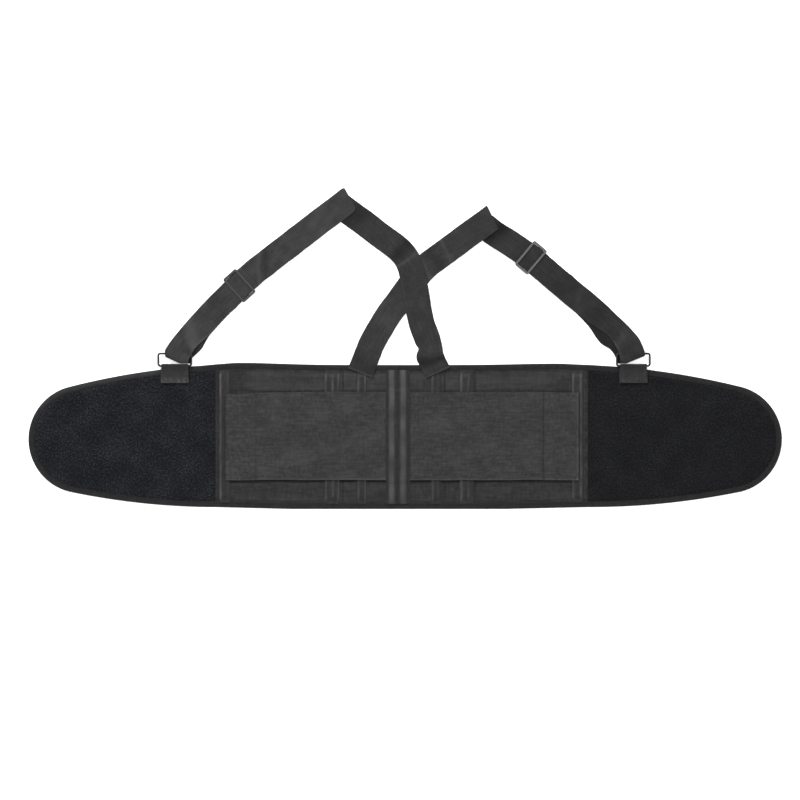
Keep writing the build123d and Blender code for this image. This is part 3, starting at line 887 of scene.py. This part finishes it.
def centre_tape(material):
    """The middle tape: over the pull panels' sewn ends, and down onto the elastic above and below them."""
    low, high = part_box("centre_channel")
    panel_low, panel_high = extent("left_pull_inner", 1)
    seam_places = (-15.2 * MM, 14.6 * MM)

    def over_panels(y):
        return step_up(y, panel_low - 7 * MM, panel_low) * (1 - step_up(y, panel_high, panel_high + 7 * MM))

    def level_at(y):
        return CHANNEL_TOP + (CENTRE_TOP - 0.35 * MM - CHANNEL_TOP) * over_panels(y)

    xs, ys = np.meshgrid(spaced(low.x, high.x, 0.8 * MM, 0.6 * MM),
                         spaced(low.y - 1 * MM, high.y + 1 * MM, 2 * MM, 1 * MM))
    edge = np.minimum(xs - low.x, high.x - xs)
    rise, painted_light_and_wear = np.zeros(xs.shape), np.zeros(xs.shape)
    lit = 0.7 + 0.35 * step_up(ys, high.y - 45 * MM, high.y - 6 * MM) + 0.25 * swell(0.5 * xs, ys, 0.03, 19)
    for place in (-9.2 * MM, 7.2 * MM):
        shape = np.clip(1.6 * bump(xs, place + 0.4 * MM * ripple(ys, 0.09, 3), 3.4 * MM), 0, 1)
        rise = np.maximum(rise, shape)
        painted_light_and_wear = np.maximum(painted_light_and_wear, shape * lit)
    # The seam lines and the hollow between the two ridges are darkened: painted shade.
    seams = np.maximum(bump(xs, seam_places[1], 0.9 * MM), bump(xs, seam_places[0], 0.8 * MM))
    painted_light_and_wear = painted_light_and_wear - 0.9 * seams - 0.55 * bump(xs, -0.8 * MM, 3.0 * MM)
    top = level_at(ys) + 0.4 * MM * rise - 0.35 * MM * seams + 0.03 * MM * swell(xs, ys, 0.01, 23)
    stay_high = extent("left_centre_stay", 2)[1] + 0.15 * MM
    for side in SIDES:
        over_stay = np.abs(xs - extent_middle(f"{side}_centre_stay")) < 3.6 * MM
        top = np.maximum(top, stay_high * over_stay)
    wall = np.where(over_panels(ys) > 0.5, PULL_TOP - 0.4 * MM, ELASTIC_TOP)
    top = wall + (top - wall) * rounded(edge + 0.04 * MM, 0.8 * MM)
    painted_light_and_wear = np.clip(painted_light_and_wear * 0.5, -1, 1)
    obj = slab("centre_channel_tape", xs, ys, top, ELASTIC_TOP - 0.2 * MM, painted_light_and_wear, turned=True)
    dress(obj, material)
    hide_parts("centre_channel")
    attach(obj, "back")
    y = np.linspace(low.y + 2 * MM, high.y - 2 * MM, 90)
    for place in seam_places:
        sew(BACK_GROUP, np.stack([np.full(len(y), place), y, level_at(y) - 0.3 * MM], 1), FINE_PITCH)


# ---------------------------------------------------------------- pull panels
# Painted light at the panel's end (a painted shadow on the left, a painted highlight on the right), and how
# dark the painted shade along its hem line is
PANEL_END_PAINTED_LIGHT = {"left": -0.6, "right": 0.25}
HEM_SHADE = {"left": 0.08, "right": 0.35}
HEM_OVER = {"left": 0.0, "right": 5.5 * MM}  # how far the hem reaches past the hook patch


def pull_panel(side, material, hooks):
    """A wide woven elastic panel: inner end under the centre tape, outer end hemmed over a hook patch."""
    sign = SIDES[side]
    inner_low, inner_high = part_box(f"{side}_pull_inner")
    outer_low, outer_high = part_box(f"{side}_pull_outer")
    hook_low, hook_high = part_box(f"{side}_pull_hook")
    left = side == "left"
    start = inner_high.x if left else inner_low.x
    end = outer_low.x if left else outer_high.x
    length, height = abs(end - start), inner_high.y - inner_low.y
    hem_at = abs((hook_high.x if left else hook_low.x) - start) - HEM_OVER[side]
    skew = 2.6 * MM if left else 0.6 * MM
    along = spaced(0, length, 2 * MM, 1.6 * MM)[None, :]
    y = spaced(inner_low.y, inner_high.y, 2 * MM, 1.2 * MM)[:, None]
    xs = start + sign * np.broadcast_to(along, (len(y), along.size))
    lean = step_up(along, hem_at * 0.5, length)
    ys = y - np.clip((y - inner_low.y) / height, 0, 1) * skew * lean
    ys = ys + 0.35 * MM * ripple(along, 0.07, 81 + sign)
    from_edge, from_end = np.minimum(y - y[0], y[-1] - y), length - along
    crown = rounded(from_edge + 0.1 * MM, 1.0 * MM) * rounded(from_end + 0.1 * MM, 1.0 * MM)
    hem = 0.25 * MM * step_up(along, hem_at - 2 * MM, hem_at + 1 * MM)
    hem = hem - 0.35 * MM * bump(along, hem_at, 0.9 * MM)
    relief = 0.13 * swell(xs, ys, 0.06, 85 + sign, 8) + 0.05 * swell(xs * 0.25, ys, 0.01, 87 + sign, 8)
    middle, half = (PULL_TOP + PULL_LOW) / 2, (PULL_TOP - PULL_LOW) / 2
    top = middle + (half - 0.25 * MM + hem + relief * MM) * crown
    bottom = middle - (half - 0.02 * MM) * crown
    over_hooks = step_up(along, hem_at, hem_at + 4 * MM)
    # Painted light at the panel's end, painted shade in the hem's groove, faint mottling over the hook patch,
    # random tone, and a lighter lower edge.
    painted_light_and_wear = (PANEL_END_PAINTED_LIGHT[side] * bump(from_end, 0.8 * MM, 1.3 * MM)
           - HEM_SHADE[side] * bump(along, hem_at, 1.0 * MM)
           + 0.05 * over_hooks * swell(xs, ys, 0.01, 89) + 0.05 * swell(xs, ys, 0.07, 91)
           + 0.3 * bump(from_edge, 0.6 * MM, 0.8 * MM) * (ys < (inner_low.y + inner_high.y) / 2))
    obj = slab(f"{side}_pull_panel", xs, ys, top, bottom, painted_light_and_wear, map_shift=3.0)
    dress(obj, material)
    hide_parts(f"{side}_pull_inner", f"{side}_pull_outer")
    pull_over_fold(obj)
    inset = 3.2 * MM
    x_hem, x_end = start + sign * hem_at, end - sign * inset
    y_low, y_high = inner_low.y + inset, inner_high.y - inset - skew
    z = PULL_TOP - 0.2 * MM
    corners = [(x_hem, y_high, z), (x_hem, y_low, z), (x_end, y_low, z), (x_end, y_high, z)]
    for a, b in zip(corners, corners[1:] + corners[:1]):
        sew(GROUPS[side]["pull"], np.linspace(a, b, max(3, round(math.dist(a, b) / (4 * MM)))), 2.9 * MM)
    hook_patch(f"{side}_pull_hook_tape", f"{side}_pull_hook", f"{side}_pull_end", hooks)


# ---------------------------------------------------------------- suspenders
WEB_WIDTH = 38 * MM
DRAWN_THICK = WEBBING - 0.15 * MM
SECTION_POINTS = 20  # across each face of the webbing


def plan_ahead(line):
    """Directions along a line, level with the floor."""
    ahead = unit(np.gradient(line[:, :2], axis=0))
    return np.concatenate([ahead, np.zeros((len(line), 1))], 1)


def plan_across(line):
    ahead = plan_ahead(line)
    return np.stack([-ahead[:, 1], ahead[:, 0], np.zeros(len(line))], 1)


def web_rings(line, across, width, thick, seed, cup=0.0, skew=0.0, creases=(), tone=0.0, nicks=()):
    """Sections of webbing along a line: nearly flat, with rolled selvages, an uneven cup, and its creases.

    A crease is its distance along, how far it slants from edge to middle, its width, its height and its
    painted light.
    A nick is its distance along, its width and how deep the outer edge is pulled in.
    """
    normal = unit(np.cross(unit(np.gradient(line, axis=0)), across))
    share = -np.cos(np.linspace(0, math.pi, SECTION_POINTS))
    share = np.sign(share) * np.abs(share) ** 0.8
    width = width * np.ones(len(line))
    along = lengths(line)
    wobble = 0.3 * MM * ripple(along, 0.05, seed) + 0.12 * MM * ripple(along, 0.014, seed + 50)
    lean = 0.25 * MM * ripple(along, 0.08, seed + 3)
    rings, uv, painted_light_and_wear = [], [], []
    for s, up in [(v, 1) for v in share] + [(v, -1) for v in share[::-1]]:
        edge = (1 - abs(s)) * width / 2
        half = thick / 2 * (0.25 + 0.75 * rounded(edge, 0.9 * MM))
        half = half + 0.06 * MM * bump(edge, 1.6 * MM, 0.9 * MM)
        height = cup * (s ** 2 - 0.33) + lean * s
        shade = tone + 0.05 * swell(along, s * width, 0.03, seed + 7)
        for at, slant, reach, lift, light in creases:
            shape = bump(along - slant * s * MM, at * MM, reach * MM)
            height = height + lift * MM * shape
            shade = shade + light * shape
        sideways = s * width / 2 + wobble * (1 if s > 0 else 0.6)
        for at, reach, depth in nicks:
            sideways = sideways + depth * MM * max(0, -s) ** 3 * bump(along, at * MM, reach * MM)
        rings.append(line + across * sideways[:, None] + normal * (up * half + height)[:, None] + skew * s)
        uv.append(np.stack([s * width / 2, along], 1))
        painted_light_and_wear.append(shade * np.ones(len(line)))
    rings = np.stack(rings, 1)
    rings[..., 2] = np.maximum(rings[..., 2], 0.0)
    return rings, np.stack(uv, 1), np.stack(painted_light_and_wear, 1)


def webbing_piece(name, rings, uv, painted_light_and_wear, material, nodes):
    obj = swept(name, rings, uv, painted_light_and_wear=painted_light_and_wear)
    dress(obj, material)
    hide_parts(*nodes)
    return obj


MID = WEBBING / 2
ON_FLOOR, ON_ONE = MID, MID + WEBBING  # middle of webbing on the floor, and of webbing on another layer

# Middle line of each strap, in millimetres: across, up, and its height
BACK_LINES = {
    "left": [(-84, 338, 0.75), (-61, 321, 0.75), (-38, 304, 0.8), (-18, 289.3, 1.2), (-2, 277, 2.9),
             (9, 266.5, 2.7), (16, 254, 2.5), (20.5, 238, 2.5), (24, 221, 2.4), (27.5, 202, 2.3),
             (31, 182, 1.6), (36, 162, 1.0), (43, 143, 0.9), (46.3, 130, 1.6), (47.7, 119, 1.9),
             (51, 109, 2.4), (54.6, 102, 3.2), (58.3, 93.9, 3.65)],
    "right": [(138.2, 320.9, 3.75), (126, 312, 3.75), (112.4, 302.2, 3.7), (90.5, 286.3, 2.5),
              (68, 270, 1.0), (47, 254.6, 0.75), (34, 242, 0.75), (22, 227.5, 0.75), (1.5, 199, 0.75),
              (-13, 179.5, 0.75), (-28.5, 154.5, 0.8), (-38.5, 136, 0.9), (-45, 120.6, 1.1),
              (-50, 107.5, 3.1), (-55.2, 93.9, 3.65)],
}
FRONT_LINES = {  # from the sewn lap at the top down to the fold that hangs in the ring
    "left": [(-69.5, 348.5, 2.25), (-84, 337.6, 2.25), (-100, 325.4, 1.5), (-118, 311.6, 1.0),
             (-148, 288.8, 1.6), (-175, 267.5, 2.2), (-203, 246.2, 2.25), (-217, 234.2, 2.25),
             (-231.4, 221.2, 2.25), (-244, 208.8, 2.25), (-265.7, 187, 2.25), (-289.4, 162, 2.25),
             (-307, 142.5, 2.25), (-317.4, 129, 2.25), (-325.2, 114.6, 2.25)],
    "right": [(123, 310, 2.2), (140, 298.3, 2.2), (158, 286.4, 2.2), (175, 275.5, 2.25),
              (193.9, 261.9, 2.25), (205.8, 251.4, 2.25), (229, 231.8, 2.25), (252.2, 212, 2.25),
              (278.9, 189.9, 2.25), (302, 171.5, 2.25), (322.4, 154, 2.25), (335.7, 135, 2.25),
              (343.4, 114.8, 2.25)],
}
# Distance along in mm, slant, width, height, and painted light of each crease
CREASES = {
    "left_back": [(26, 4, 15, 0, -0.42), (110, 0, 9, -0.15, -0.4), (127, -3, 3.2, 0.35, 0.38),
                  (190, 6, 9, 0, 0.1), (262, 2, 8, 0.2, 0.14), (279, 3, 7, -0.35, -0.5),
                  (296, 2, 5, 0.1, 0.12)],
    "right_back": [(30, 0, 12, 0, -0.12), (84, 3, 3, 0.15, 0.22), (104, 0, 9, 0, -0.3),
                   (124, 5, 4.5, 0.25, 0.28), (215, 5, 14, 0.1, 0.16), (290, 0, 10, -0.2, -0.34),
                   (306, 0, 5, 0.1, 0.1)],
    "left_front": [(60, 8, 20, 0, 0.08), (156, 14, 6, -0.3, -0.36), (169, 14, 4, 0.25, 0.16),
                   (250, 8, 16, 0, -0.14), (306, 10, 12, 0.2, 0.26), (324, 9, 5, -0.15, -0.22)],
    "right_front": [(21, 8, 11, 0, -0.55), (50, 0, 12, 0, 0.14), (150, 10, 14, 0, -0.16),
                    (178, -6, 4, 0.2, 0.2), (215, 0, 12, -0.2, -0.22), (262, -8, 6, 0.2, 0.18)],
}
# Where the strap's outer edge is pulled in: distance along, how far that spreads, and how deep
NICKS = {"left": [(257, 6, 2.8), (272, 6, -2.2)], "right": []}
# How light each strap is as a whole
TONES = {"left_back": -0.16, "right_back": -0.06, "left_front": 0.06, "right_front": -0.3}
# The layer that is turned back under the front strap: its offset towards the middle at the ring and where it
# peeks out most, how far up that is, and how far it spreads, all in millimetres
TURNED_BACK = {"left": (2, 5.5, 34, 17), "right": (3.5, 11.5, 52, 30)}
# How much the front strap cups, as a share of its width, how far up from the ring, and how far that spreads
CUPPED = {"left": (0.09, 30, 20), "right": (0.19, 52, 30)}
CUT_X = {"left": -215 * MM, "right": 222 * MM}  # where the drawn front strap is cut in two
SLIDER_POINT = {"left": 8, "right": 4}  # which point of its line each slider sits on
SLIDER_BAR = 1.2 * MM  # thickness of the slider's bars
SLIDER_ROOM = 13 * MM  # half the slider's length along the strap, and a little
FOLD_STARTS = 3.0 * MM  # how far past the ring's bar the strap begins to turn
# How far the strap's fold hangs past the end of its line, in millimetres
FOLD_DROP = {"left": (1.9, -5.4, 0), "right": (0.7, -2.5, 0)}
FOLD_SLANT = {"left": 0.8 * MM, "right": -0.6 * MM}  # how much further one edge of the fold hangs


def cross_stitches(line, across, at):
    """Rows of stitches across a strap, at distances from its start."""
    along = lengths(line)
    half = WEB_WIDTH / 2 - 2.5 * MM
    reach = np.linspace(-half, half, 10)[:, None]
    for distance in at:
        centre, side = [np.array([np.interp(distance, along, values[:, k]) for k in range(3)])
                        for values in (line, across)]
        sew(BACK_GROUP, centre + side * reach + [0, 0, MID - 0.1 * MM])


def end_skew(line, amount):
    """Cuts a strap's first end a little off square."""
    fade = 1 - step_up(lengths(line), 0, 30 * MM)
    return plan_ahead(line) * (amount * fade)[:, None]


def back_strap(side, material):
    line = smooth_curve(np.array(BACK_LINES[side]) * MM, LINE_STEP)
    across = plan_across(line)
    skew = end_skew(line, (3.4 if side == "right" else 0) * MM)
    rings, uv, painted_light_and_wear = web_rings(line, across, WEB_WIDTH, DRAWN_THICK, 101 + SIDES[side], 0.25 * MM, skew,
                               CREASES[f"{side}_back"], TONES[f"{side}_back"], NICKS[side])
    total = lengths(line)[-1]
    from_end = (total - lengths(line))[:, None]
    # Painted highlight on the rim of the strap's sewn end, and painted shade just behind it.
    painted_light_and_wear = painted_light_and_wear + 0.4 * bump(from_end, 0, 1.6 * MM) - 0.25 * bump(from_end, 4.5 * MM, 2 * MM)
    obj = webbing_piece(f"{side}_back_webbing", rings, uv, painted_light_and_wear, material, [f"{side}_back_strap"])
    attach(obj, "back")
    rows = [total - 2.5 * MM, total - 8.5 * MM] + ([4 * MM, 20 * MM] if side == "right" else [])
    cross_stitches(line, across, rows)


def strap_fold(start, finish, reach):
    """The strap's turn round the ring's upper bar, from its upper layer to the one turned back below it."""
    middle = (start + finish) / 2
    turn = np.linspace(math.pi / 2, -math.pi / 2, 15)[1:-1, None]
    return middle + reach * np.cos(turn) + (start - middle) * np.sin(turn)


def front_strap(side, material):
    """One length of webbing: down through the slider to the ring, round its bar and back up underneath."""
    sign, left = SIDES[side], side == "left"
    plan = smooth_curve(np.array(FRONT_LINES[side]) * MM, LINE_STEP)
    along = lengths(plan)
    to_end = along[-1] - along
    across, ahead = plan_across(plan), plan_ahead(plan)
    ring_low, ring_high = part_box(f"{side}_ring")
    past_bar = np.interp(ring_high.y - RING_WIRE, plan[::-1, 1], to_end[::-1])
    near_bar = step_up(-to_end, -past_bar - 34 * MM, -past_bar - 11 * MM)
    fold = past_bar - FOLD_STARTS
    keep = to_end > fold
    slider = np.array(FRONT_LINES[side][SLIDER_POINT[side]][:2]) * MM
    at_slider = along[np.argmin(np.linalg.norm(plan[:, :2] - slider, axis=1))]
    travel = joints[f"{side}_slider_slide"]["range_m"]

    upper = plan[keep].copy()
    loop_top = extent(f"{side}_front_strap_loop", 2)[1] - MID
    upper[:, 2] += ((loop_top - ON_ONE) * near_bar + 0.3 * MM * bump(along, at_slider, 5 * MM))[keep]
    turned = (along > at_slider - travel[0] + 3.6 * MM) & keep
    at_ring, most, where, spread = (v * MM for v in TURNED_BACK[side])
    shift = at_ring * (1 - step_up(to_end, 8 * MM, 34 * MM)) + most * bump(to_end, where, spread)
    lower = plan[turned] - sign * across[turned] * shift[turned][:, None]
    loop_bottom = (ring_low.z + ring_high.z) / 2 - RING_WIRE - 0.35 * MM - MID
    lower[:, 2] = ON_FLOOR + (loop_bottom - ON_FLOOR) * near_bar[turned]
    nose = strap_fold(upper[-1], lower[-1], ahead[-1] * fold + np.array(FOLD_DROP[side]) * MM)
    line = np.concatenate([upper, nose, lower[::-1]])
    sides = np.concatenate([across[keep], np.repeat(across[-1:], len(nose), 0), across[turned][::-1]])

    share, cup_at, cup_spread = CUPPED[side]
    narrow = 1 - share * bump(to_end, cup_at * MM, cup_spread * MM)
    width = WEB_WIDTH * np.concatenate([narrow[keep], np.ones(len(nose) + turned.sum())])
    if left:
        width = width * (0.9 + 0.1 * step_up(lengths(line), 0, 4 * MM))
    near_fold = 1 - step_up(to_end, 4 * MM, 30 * MM)
    slant = np.concatenate([near_fold[keep], np.ones(len(nose)), near_fold[turned][::-1]])
    skew = ahead[-1] * (sign * FOLD_SLANT[side] * slant)[:, None]
    skew[:len(upper)] += end_skew(upper, (2.2 if left else 0) * MM)
    rings, uv, painted_light_and_wear = web_rings(line, sides, width, DRAWN_THICK, 111 + sign, 0.3 * MM, skew,
                               CREASES[f"{side}_front"], TONES[f"{side}_front"])
    # Painted shade on the layer turned back under the strap.
    painted_light_and_wear[len(upper) + len(nose) // 2:] -= 0.35
    selvage = (np.abs(uv[..., 0]) > 0.93 * WEB_WIDTH / 2 * narrow.min()) * (-sign * uv[..., 0] > 0)
    painted_light_and_wear[:len(upper)] += 0.3 * selvage[:len(upper)] * bump(to_end[keep], 40 * MM, 34 * MM)[:, None]

    length = lengths(line)
    tab_edge = extent(f"{side}_ring_tab", 1)[1] + 0.4 * MM
    past_slider = length[:, None] > at_slider + 30 * MM
    rings[..., 1] = np.where(past_slider, np.maximum(rings[..., 1], tab_edge), rings[..., 1])
    passed = np.flatnonzero((along[keep] > at_slider - travel[1] - SLIDER_ROOM)
                            & (along[keep] < at_slider - travel[0] + SLIDER_ROOM))
    bar = SLIDER_BAR + 0.04 * MM
    rings[passed, :, 2] = np.clip(rings[passed, :, 2], bar, extent(f"{side}_slider", 2)[1] - bar)

    cut = int(np.argmax(np.abs(upper[:, 0]) > abs(CUT_X[side])))
    top = webbing_piece(f"{side}_front_webbing", rings[:cut + 1], uv[:cut + 1], painted_light_and_wear[:cut + 1], material,
                        [f"{side}_front_strap_upper"])
    over_fold(top)
    loop = webbing_piece(f"{side}_ring_webbing", rings[cut:], uv[cut:], painted_light_and_wear[cut:], material,
                         [f"{side}_front_strap_middle", f"{side}_front_strap_loop"])
    strap_over_seam(loop)
    if left:
        cross_stitches(line[:40], sides[:40], [3 * MM, 20 * MM])


TAB_END_RUB = {"left": 0.55, "right": 0.2}  # how light the tab's sewn end is


def ring_tab(side, material):
    """A doubled webbing tab sewn to the wing, looped round the ring's lower bar."""
    low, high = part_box(f"{side}_ring_tab")
    ring_low, ring_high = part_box(f"{side}_ring")
    x, bar_y, bar_z = (low.x + high.x) / 2, ring_low.y + RING_WIRE, (ring_low.z + ring_high.z) / 2
    thick = 1.1 * MM
    reach = high.y - bar_y - thick / 2 - 0.05 * MM
    sewn_y = low.y + 1 * MM
    ground = WING_TOP + thick / 2
    lower = [(sewn_y, ground - 0.1 * MM), (sewn_y + 9 * MM, ground - 0.2 * MM),
             (bar_y - 8 * MM, ground - 0.9 * MM), (bar_y - 3 * MM, bar_z - reach * 0.96)]
    nose = [(bar_y + reach * math.cos(a), bar_z + reach * math.sin(a))
            for a in np.linspace(-math.pi / 2, math.pi / 2, 11)]
    upper = [(bar_y - 3 * MM, bar_z + reach * 0.98), (bar_y - 9 * MM, ground + thick + 0.5 * MM),
             (sewn_y + 9 * MM, ground + thick), (sewn_y, ground + thick - 0.05 * MM)]
    line = smooth_curve([(x, y, z) for y, z in lower + nose + upper], LINE_STEP / 2)
    across = np.repeat([[1.0, 0, 0]], len(line), 0)
    width = high.x - low.x - 0.4 * MM
    taper = 1 - 0.05 * step_up(line[:, 1], low.y + 14 * MM, high.y)
    rings, uv, painted_light_and_wear = web_rings(line, across, width * taper, thick, 131 + SIDES[side])
    place = rings[..., 1]
    worn_end = 1 - step_up(place, low.y + 4 * MM, low.y + 13 * MM)
    # Darker overall, painted shade where the ring and the strap's loop lie over the tab, and a lighter,
    # ragged worn end where it is sewn.
    painted_light_and_wear = (painted_light_and_wear - 0.15 - 0.3 * bump(place, high.y - 3 * MM, 5 * MM)
           + TAB_END_RUB[side] * worn_end * (0.8 + 0.4 * swell(rings[..., 0], place, 0.006, 133)))
    obj = webbing_piece(f"{side}_ring_tab_webbing", rings, uv, painted_light_and_wear, material, [f"{side}_ring_tab"])
    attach(obj, f"{side}_wing")
    top = ground + 1.5 * thick - 0.12 * MM
    for y in (sewn_y + 1.8 * MM, sewn_y + 4.6 * MM, sewn_y + 14 * MM):
        sew(GROUPS[side]["tab"], np.linspace((low.x + 3 * MM, y, top), (high.x - 3 * MM, y, top), 8))


def wire_ring(side, material):
    """Rectangular ring of round wire with bent corners."""
    low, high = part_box(f"{side}_ring")
    wire, z = (high.z - low.z) / 2, (low.z + high.z) / 2
    bend = 3.0 * MM
    x0, x1, y0, y1 = (low.x + wire + bend, high.x - wire - bend, low.y + wire + bend, high.y - wire - bend)
    line = np.array([(x + bend * math.cos(a), y + bend * math.sin(a), z)
                     for x, y, start in ((x1, y1, 0), (x0, y1, 90), (x0, y0, 180), (x1, y0, 270))
                     for a in np.radians(np.linspace(start, start + 90, 9))])
    out = np.cross(unit(np.roll(line, -1, 0) - np.roll(line, 1, 0)), [0, 0, 1.0])
    rings = np.stack([line + out * (math.cos(a) * wire) + np.array([0, 0, math.sin(a) * wire])
                      for a in np.linspace(0, 2 * math.pi, 16, endpoint=False)], 1)
    count, around = rings.shape[:2]
    faces = quads(count + 1, around, wrap=True) % (count * around)
    obj = mesh_object(f"{side}_wire_ring", rings, faces, np.zeros((count * around, 2)))
    dress(obj, material)
    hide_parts(f"{side}_ring")
    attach(obj, f"{side}_strap_ring")


def strap_slider(side, material):
    """Three-bar slider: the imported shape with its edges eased."""
    source = frame["nodes"][f"{side}_slider"]
    obj = bpy.data.objects.new(f"{side}_tri_glide", source.data.copy())
    scene.collection.objects.link(obj)
    bm = bmesh.new()
    bm.from_mesh(obj.data)
    bmesh.ops.remove_doubles(bm, verts=bm.verts, dist=0.01 * MM)
    bmesh.ops.dissolve_limit(bm, angle_limit=math.radians(2), verts=bm.verts, edges=bm.edges)
    sharp = [e for e in bm.edges if len(e.link_faces) == 2 and e.calc_face_angle(0) > math.radians(40)]
    bmesh.ops.bevel(bm, geom=sharp, offset=0.42 * MM, segments=3, affect="EDGES", profile=0.6,
                    clamp_overlap=True)
    bm.to_mesh(obj.data)
    bm.free()
    obj.data.polygons.foreach_set("use_smooth", np.ones(len(obj.data.polygons), bool))
    dress(obj, material)
    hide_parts(f"{side}_slider")
    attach(obj, f"{side}_adjuster")


# ---------------------------------------------------------------- build
make_camera()
make_studio()

elastic = woven("belt_elastic", (0.037,) * 3, (1.1 * MM, 0.8 * MM), (34, 250, 1), 0.26)
pull_elastic = woven("pull_elastic", (0.0465,) * 3, (1.2 * MM, 0.9 * MM), (48, 320, 1), 0.26)
channel_cloth = woven("channel_tape", (0.033,) * 3, (0.9 * MM, 0.9 * MM), (60, 300, 1), light=3.0)
binding_cloth = woven("binding_tape", (0.0225, 0.0228, 0.0225), (0.8 * MM, 0.6 * MM), (150, 150, 1))
web_cloth = woven("strap_webbing", (0.0375,) * 3, (1.3 * MM, 0.9 * MM), (300, 60, 1), 0.2)
lining_cloth = woven("wing_lining", (0.022, 0.022, 0.023), (0.5 * MM, 0.5 * MM), (60, 60, 1), depth=0.08 * MM)
wing_pile = {"left": pile_cloth("left_pile", (0.0072, 0.0076, 0.0096), 4.2),
             "right": pile_cloth("right_pile", (0.0074, 0.0076, 0.0086), 2.4)}
thread = plain_grain("thread", (0.009,) * 3, 900, 0.8)
hook_plastic = plain_grain("hook_tape", (0.012, 0.012, 0.013), 500, 0.45)
stay_plastic = plain_grain("stay_plastic", (0.05, 0.05, 0.052), 300, 0.35)
black_metal = coated_metal("black_metal", (0.012, 0.012, 0.013), 0.36)
# The right slider is a lighter copy of the same part: painted highlight on its bars.
slider_metal = {"left": coated_metal("left_slider_metal", (0.022, 0.022, 0.023), 0.4),
                "right": coated_metal("right_slider_metal", (0.036, 0.036, 0.037), 0.32)}

for side in SIDES:
    belt_cloth(side, elastic)
    belt_bindings(side, binding_cloth)
    wing_pad(side, wing_pile[side])
    wing_lining(side, lining_cloth)
    wing_binding(side, binding_cloth)
    side_channels(side, channel_cloth)
centre_tape(channel_cloth)
hook_patch("right_closure_hook_tape", "right_wing_closure_hook", "right_wing", hook_plastic)
for side in SIDES:
    pull_panel(side, pull_elastic, hook_plastic)
    back_strap(side, web_cloth)
    front_strap(side, web_cloth)
    ring_tab(side, web_cloth)
    wire_ring(side, black_metal)
    strap_slider(side, slider_metal[side])
stitch_objects(thread)

for name, node in frame["nodes"].items():
    if "stay" in name:
        dress(node, stay_plastic)
